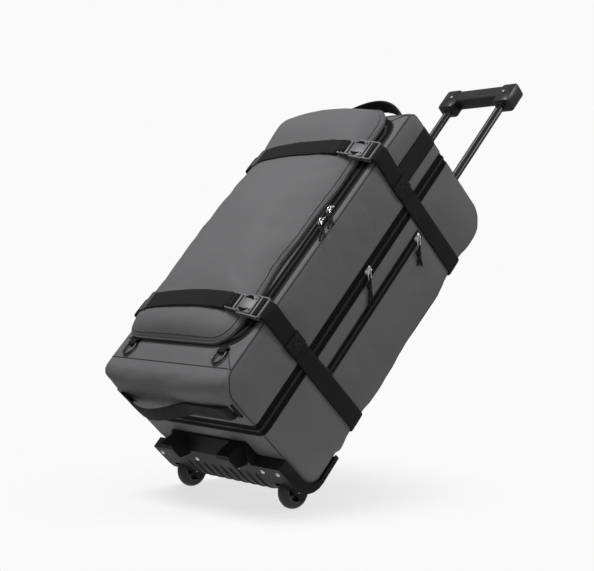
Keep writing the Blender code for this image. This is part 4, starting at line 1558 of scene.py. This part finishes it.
def buildRings():
    for side in ("left", "right"):
        node = f"d_ring_{side}"
        low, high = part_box(node)
        x = (low.x + high.x) / 2
        y = (low.y + high.y) / 2
        barZ = high.z - 0.0018
        wide = (high.x - low.x) / 2 - 0.0018
        ring = [Vector((x + wide * share, y, barZ)) for share in (-0.86, 0, 0.86)]
        for i in range(9):
            turn = math.radians(180 * i / 8)
            ring.append(Vector((x + wide * math.cos(turn), y, barZ - 0.0125 - 0.0138 * math.sin(turn))))
        smooth = evenly(ring + [ring[0]], 0.0022)[:-1]
        addPiece(f"{side}DRing", tubeBm(smooth, 0.0022, 10, True), "grip", node, 60, (node,))
        tab = [(x, frontY - 0.0008, barZ + 0.011), (x, frontY - 0.0012, barZ + 0.006)]
        tab += [(x, y + 0.0024, barZ), (x, y + 0.0012, barZ - 0.0026), (x, y - 0.0016, barZ - 0.0022)]
        tab += [(x, y - 0.0026, barZ + 0.001), (x, y - 0.0014, barZ + 0.006)]
        tab += [(x, frontY - 0.0024, barZ + 0.011)]
        path = curveThrough(tab, 0.0014)
        replaced = (f"d_ring_tab_{side}",)
        addStrap(f"{side}RingTab", path, facing(path, -rightward), "bag", 0.020, 0.0011, replaced)


buildHaulHandles()
buildSideWebbing()
buildRings()
print("handles and rings made")


# ---- sliders, pulls and cords ----

pulls = {"radius": 0.0010, "cordRadius": 0.0022, "wide": 1.3, "long": 1.35, "tall": 1.15}
hang = Vector((0, 0.693, -0.721)).normalized()
lidHang = Vector((0.58, 0, -0.81)).normalized()
sliderPlan = {
    "main": (rightward, hang, 0.048),
    "pocket": (rightward, hang, 0.033),
    "lid_upper": (front, lidHang, 0.045),
    "lid_lower": (front, lidHang, 0.045),
}


def cordTube(name, points, radius, body):
    return addPiece(name, tubeBm(points, radius, 10), "cord", body, 60)


def buildSlider(label, normal, down, length):
    low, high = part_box(label + "_slider")
    centre = (low + high) / 2
    base = centre - normal * 0.0015
    across = normal.cross(up)
    turn = Matrix((across * pulls["wide"], up * pulls["long"], normal * pulls["tall"])).transposed().to_4x4()
    turn.translation = base
    # the body: a waisted plate with a bridge over it
    bm = boxBm((-0.0044, -0.0062, 0.0), (0.0044, 0.0062, 0.0012), 0.0005, 2)
    addTo(bm, boxBm((-0.0040, -0.0058, 0.0019), (0.0040, 0.0058, 0.0032), 0.0006, 2))
    addTo(bm, boxBm((-0.0008, -0.0040, 0.0010), (0.0008, 0.0010, 0.0022), 0.0002, 1))
    bridge = [(0, -0.0040, 0.0030), (0, -0.0028, 0.0050), (0, 0.0002, 0.0058)]
    bridge += [(0, 0.0030, 0.0050), (0, 0.0040, 0.0030)]
    addTo(bm, tubeBm(curveThrough(bridge, 0.001), 0.0009, 8))
    bmesh.ops.transform(bm, matrix=turn, verts=bm.verts)
    addPiece(f"{label}SliderBody", bm, "chrome", f"{label}_slider", 45, (f"{label}_slider",))
    # the wire pull
    pull = f"{label}_pull"
    pivot = base + normal * 0.0046
    side = normal.cross(down)
    loop = [pivot - side * 0.0020 - down * 0.0010, pivot + side * 0.0020 - down * 0.0010]
    loop += [pivot + side * 0.0034 + down * 0.004, pivot + side * 0.0034 + down * 0.013]
    loop += [pivot + side * 0.0018 + down * 0.0165, pivot - side * 0.0018 + down * 0.0165]
    loop += [pivot - side * 0.0034 + down * 0.013, pivot - side * 0.0034 + down * 0.004]
    ring = curveThrough([*loop, loop[0]], 0.0013)[:-1]
    addPiece(f"{label}PullWire", tubeBm(ring, pulls["radius"], 8, True), "chrome", pull, 60, (pull,))
    # the cord: through the wire, a knot, and two tails
    start = pivot + down * 0.0195
    radius = pulls["cordRadius"]
    sway = side * 0.0016
    shares = (0, 0.15, 0.3, 0.45, 0.6, 0.75, 0.9, 1)
    points = [start + down * length * s + sway * math.sin(s * 5) * s for s in shares]
    path = curveThrough(points, 0.0016)
    cord = cordTube(f"{label}Cord", path, radius, pull)
    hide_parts(f"{label}_pull_cord")
    knotAt = start + down * 0.010
    knot = bmesh.new()
    for lean, size in ((0.0, 0.0038), (1.2, 0.0034), (2.3, 0.0033)):
        turnLoop = []
        for i in range(12):
            angle = math.tau * i / 12
            rim = side * math.cos(angle) * size + normal * math.sin(angle) * size * 0.62
            turnLoop.append(knotAt + rim + down * (0.0028 * math.sin(angle + lean) + 0.0016 * lean - 0.002))
        addTo(knot, tubeBm(turnLoop, radius * 0.86, 8, True))
    knotPiece = addPiece(f"{label}CordKnot", knot, "cord", pull, 60)
    second = [knotAt + down * 0.002, knotAt + down * 0.010 + side * 0.004]
    second += [knotAt + down * 0.018 + side * 0.0065, knotAt + down * 0.024 + side * 0.0080]
    second += [ knotAt + down * (length - 0.014) + side * 0.0095]
    tail = cordTube(f"{label}CordTail", curveThrough(second, 0.0016), radius * 0.95, pull)
    loop = [pivot + down * 0.0140 + normal * 0.0018, pivot + down * 0.0170 + normal * 0.0024]
    loop += [start + down * 0.004 + normal * 0.0014 + side * 0.0008, knotAt + normal * 0.0008]
    bight = cordTube(f"{label}CordBight", curveThrough(loop, 0.0014), radius * 0.9, pull)
    lengthOf(path)


for label, (normal, down, length) in sliderPlan.items():
    buildSlider(label, normal, down, length)
print("sliders made")


# ---- wheel base ----

base = {"ribs": 9, "ribHalf": 0.098, "ribRadius": 0.0016, "rivetY": 0.080, "rivetX": (0.059, 0.128, 0.168)}


def buildBase():
    refinedNode("base_shell", "base", "bag", 0.0016, 3, 25, "baseShell")
    floorZ = 0.0215
    heel = 0.048
    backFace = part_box("base_shell")[1].y
    for i in range(base["ribs"]):
        x = base["ribHalf"] * (2 * i / (base["ribs"] - 1) - 1)
        points = [(x, 0.090, floorZ + 0.0008), (x, 0.096, floorZ), (x, backFace - heel, floorZ)]
        for step in range(1, 8):
            turn = math.radians(-90 + 90 * step / 8)
            y, z = backFace - heel + heel * math.cos(turn), floorZ + heel + heel * math.sin(turn)
            points.append((x, y, z))
        points += [(x, backFace, floorZ + heel), (x, backFace, 0.088), (x, backFace - 0.0008, 0.094)]
        bm = tubeBm(curveThrough(points, 0.004), base["ribRadius"], 8)
        addPiece(f"kickRib{i}", bm, "base", "bag", 60)
    for sign in (1, -1):
        for j, x in enumerate(base["rivetX"]):
            at = Vector((sign * x, base["rivetY"], floorZ))
            down = Vector((0, -0.15, -1)).normalized()
            bm = discBm(0.0046, at - down * 0.001, at + down * 0.0009, down, 20, 0.0005, 2)
            dome = bmesh.new()
            bmesh.ops.create_uvsphere(dome, u_segments=16, v_segments=10, radius=0.0032)
            bmesh.ops.scale(dome, vec=(1, 1, 0.55), verts=dome.verts)
            bmesh.ops.translate(dome, vec=at + down * 0.0008, verts=dome.verts)
            addTo(bm, dome)
            addPiece(f"rivet{'Right' if sign > 0 else 'Left'}{j}", bm, "steel", "bag", 40)


def buildWheels():
    for side in ("left", "right"):
        low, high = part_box(f"wheel_tyre_{side}")
        centre = (low + high) / 2
        radius = (high.z - low.z) / 2
        half = (high.x - low.x) / 2
        body = f"wheel_{side}"
        rim = 0.0222
        tyre = [(rim, -half), (radius - 0.0065, -half)]
        for i in range(1, 8):
            turn = math.radians(-90 + 180 * i / 8)
            tyre.append((radius - 0.0065 + 0.0065 * math.cos(turn), (half - 0.001) * math.sin(turn)))
        tyre += [(radius - 0.0065, half), (rim, half)]
        addPiece(f"{side}Tyre", turnedBm(tyre, centre), "tyre", body, 50, (f"wheel_tyre_{side}",))
        outer = rim - 0.0003
        hoop = [(outer - 0.0035, -half + 0.0006), (outer, -half + 0.0006)]
        hoop += [(outer, half - 0.0006), (outer - 0.0035, half - 0.0006)]
        hub = turnedBm(hoop, centre)
        core = [(0.0035, -half + 0.0004), (0.0072, -half + 0.0004), (0.0080, -half + 0.002)]
        core += [(0.0080, half - 0.002), (0.0072, half - 0.0004), (0.0035, half - 0.0004)]
        addTo(hub, turnedBm(core, centre))
        for i in range(3):
            angle = math.tau * i / 3 + 0.4
            low, high = (-half + 0.003, 0.0070, -0.0032), (half - 0.003, outer - 0.0025, 0.0032)
            spoke = boxBm(low, high, 0.001, 2)
            bmesh.ops.rotate(spoke, matrix=Matrix.Rotation(angle, 3, "X"), verts=spoke.verts)
            bmesh.ops.translate(spoke, vec=centre, verts=spoke.verts)
            addTo(hub, spoke)
        web = [(0.0078, -0.0009), (outer - 0.003, -0.0009), (outer - 0.003, 0.0009), (0.0078, 0.0009)]
        addTo(hub, turnedBm(web, centre))
        addPiece(f"{side}Hub", hub, "hub", body, 40, (f"wheel_hub_{side}",))
        for sign in (1, -1):
            end = centre + rightward * sign * (half + 0.0012)
            reach = rightward * 0.0006
            cap = discBm(0.0042, end - reach, end + reach, rightward, 20, 0.0004, 2)
            addPiece(f"{side}AxleWasher{'Out' if sign > 0 else 'In'}", cap, "steel", "bag", 40)
        coatNode(f"axle_{side}", "steel")


buildBase()
buildWheels()
print("base made")


# ---- pull handle ----

handle = {"collar": 0.0025, "groove": 0.0011, "barHalf": 0.062, "barDepth": 0.0158, "barEdge": 0.008}


def tubeOutline(width, depth, groove):
    # a stadium outline with a shallow groove down its front and back
    points = []
    flat = width / 2 - depth / 2
    for sign in (1, -1):
        for i in range(9):
            turn = math.radians(-90 + 180 * i / 8)
            points.append((sign * (flat + depth / 2 * math.cos(turn)), sign * depth / 2 * math.sin(turn)))
        for share in (0.55, 0.40, -0.40, -0.55):
            dip = groove if abs(share) < 0.5 else 0.0
            points.append((sign * flat * share, sign * (depth / 2 - dip)))
    return points


def columnBm(outline, centre, low, high):
    bm = bmesh.new()
    face = bm.faces.new([bm.verts.new((centre.x + a, centre.y + b, low)) for a, b in outline])
    pushed = bmesh.ops.extrude_face_region(bm, geom=[face])["geom"]
    raised = [v for v in pushed if isinstance(v, bmesh.types.BMVert)]
    bmesh.ops.translate(bm, vec=(0, 0, high - low), verts=raised)
    bmesh.ops.recalc_face_normals(bm, faces=bm.faces)
    return bm


def buildPullHandle():
    gripLow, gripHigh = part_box("pull_grip")
    refinedNode("pull_grip", "grip", "pull_handle", 0.0022, 3, 25, "pullGrip")
    middleY = (gripLow.y + gripHigh.y) / 2
    half, depth = handle["barHalf"], handle["barDepth"]
    low = (-half, middleY - depth, gripHigh.z - 0.0375)
    high = (half, middleY + depth, gripHigh.z - 0.0012)
    bar = boxBm(low, high)
    long = [e for e in bar.edges if abs(e.verts[0].co.x - e.verts[1].co.x) > 0.05]
    bevelEdges(bar, long, handle["barEdge"], 5)
    barPiece = addPiece("gripBar", bar, "grip", "pull_handle", 35)
    buttonLow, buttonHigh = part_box("release_button")
    room = Vector((0.0006, 0.0006, 0.0036))
    recess = boxBm(buttonLow - room, buttonHigh + Vector((0.0006, 0.0006, 0.02)), 0.001, 2)
    recessMesh = bpy.data.meshes.new("recess")
    recess.to_mesh(recessMesh)
    recess.free()
    cutter = bpy.data.objects.new("recess", recessMesh)
    bpy.context.scene.collection.objects.link(cutter)
    cut = barPiece.modifiers.new("recess", "BOOLEAN")
    cut.operation = "DIFFERENCE"
    cut.solver = "EXACT"
    cut.object = cutter
    carved = evaluatedMesh(barPiece)
    barPiece.modifiers.remove(cut)
    barPiece.data = carved
    bpy.data.objects.remove(cutter)
    for side in ("left", "right"):
        low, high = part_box(f"inner_tube_{side}")
        centre = (low + high) / 2
        outline = tubeOutline(high.x - low.x, high.y - low.y, handle["groove"])
        bm = columnBm(outline, centre, low.z, gripLow.z + 0.012)
        addPiece(f"{side}InnerTube", bm, "tube", "pull_handle", 30, (f"inner_tube_{side}",))
        outline = tubeOutline(high.x - low.x + 0.006, high.y - low.y + 0.006, 0)
        collar = columnBm(outline, centre, gripLow.z - handle["collar"], gripLow.z + 0.002)
        piece = addPiece(f"{side}GripCollar", collar, "grip", "pull_handle", 30)
        roundEdges(piece, 0.0012, 2, 40)
        for face, way in (("Front", low.y), ("Back", high.y)):
            near = min(way, centre.y + (way - centre.y) * 0.93)
            far = max(way, centre.y + (way - centre.y) * 0.93)
            corner = (centre.x - 0.0032, near, low.z + 0.002)
            stripe = boxBm(corner, (centre.x + 0.0032, far, gripLow.z - 0.012), 0.0002, 1)
            addPiece(f"{side}Tube{face}Stripe", stripe, "steel", "pull_handle", 30)
        outerLow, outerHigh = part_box(f"outer_tube_{side}")
        outline = tubeOutline(outerHigh.x - outerLow.x + 0.010, outerHigh.y - outerLow.y + 0.010, 0)
        ring = columnBm(outline, centre, topZ - 0.003, topZ + 0.003)
        bezel = addPiece(f"{side}TubeBezel", ring, "base", "bag", 30)
        roundEdges(bezel, 0.0015, 2, 40)
        coatNode(f"outer_tube_{side}", "tube")
        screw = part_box(f"grip_screw_{side}")
        middle = (screw[0] + screw[1]) / 2
        head = discBm(0.0036, middle + front * 0.0008, middle - front * 0.0006, front, 20, 0.0006, 2)
        low, high = Vector((-0.0022, -0.0010, -0.0005)), Vector((0.0022, -0.0006, 0.0005))
        addTo(head, boxBm(middle + low, middle + high))
        addPiece(f"{side}GripScrew", head, "steel", "pull_handle", 40, (f"grip_screw_{side}",))
    refinedNode("release_button", "buckle", "release_button", 0.0006, 2, 30, "releaseButton")


buildPullHandle()
coatNode("divider_panel", "lining")
print("pull handle made")

addCamera()
addStage()
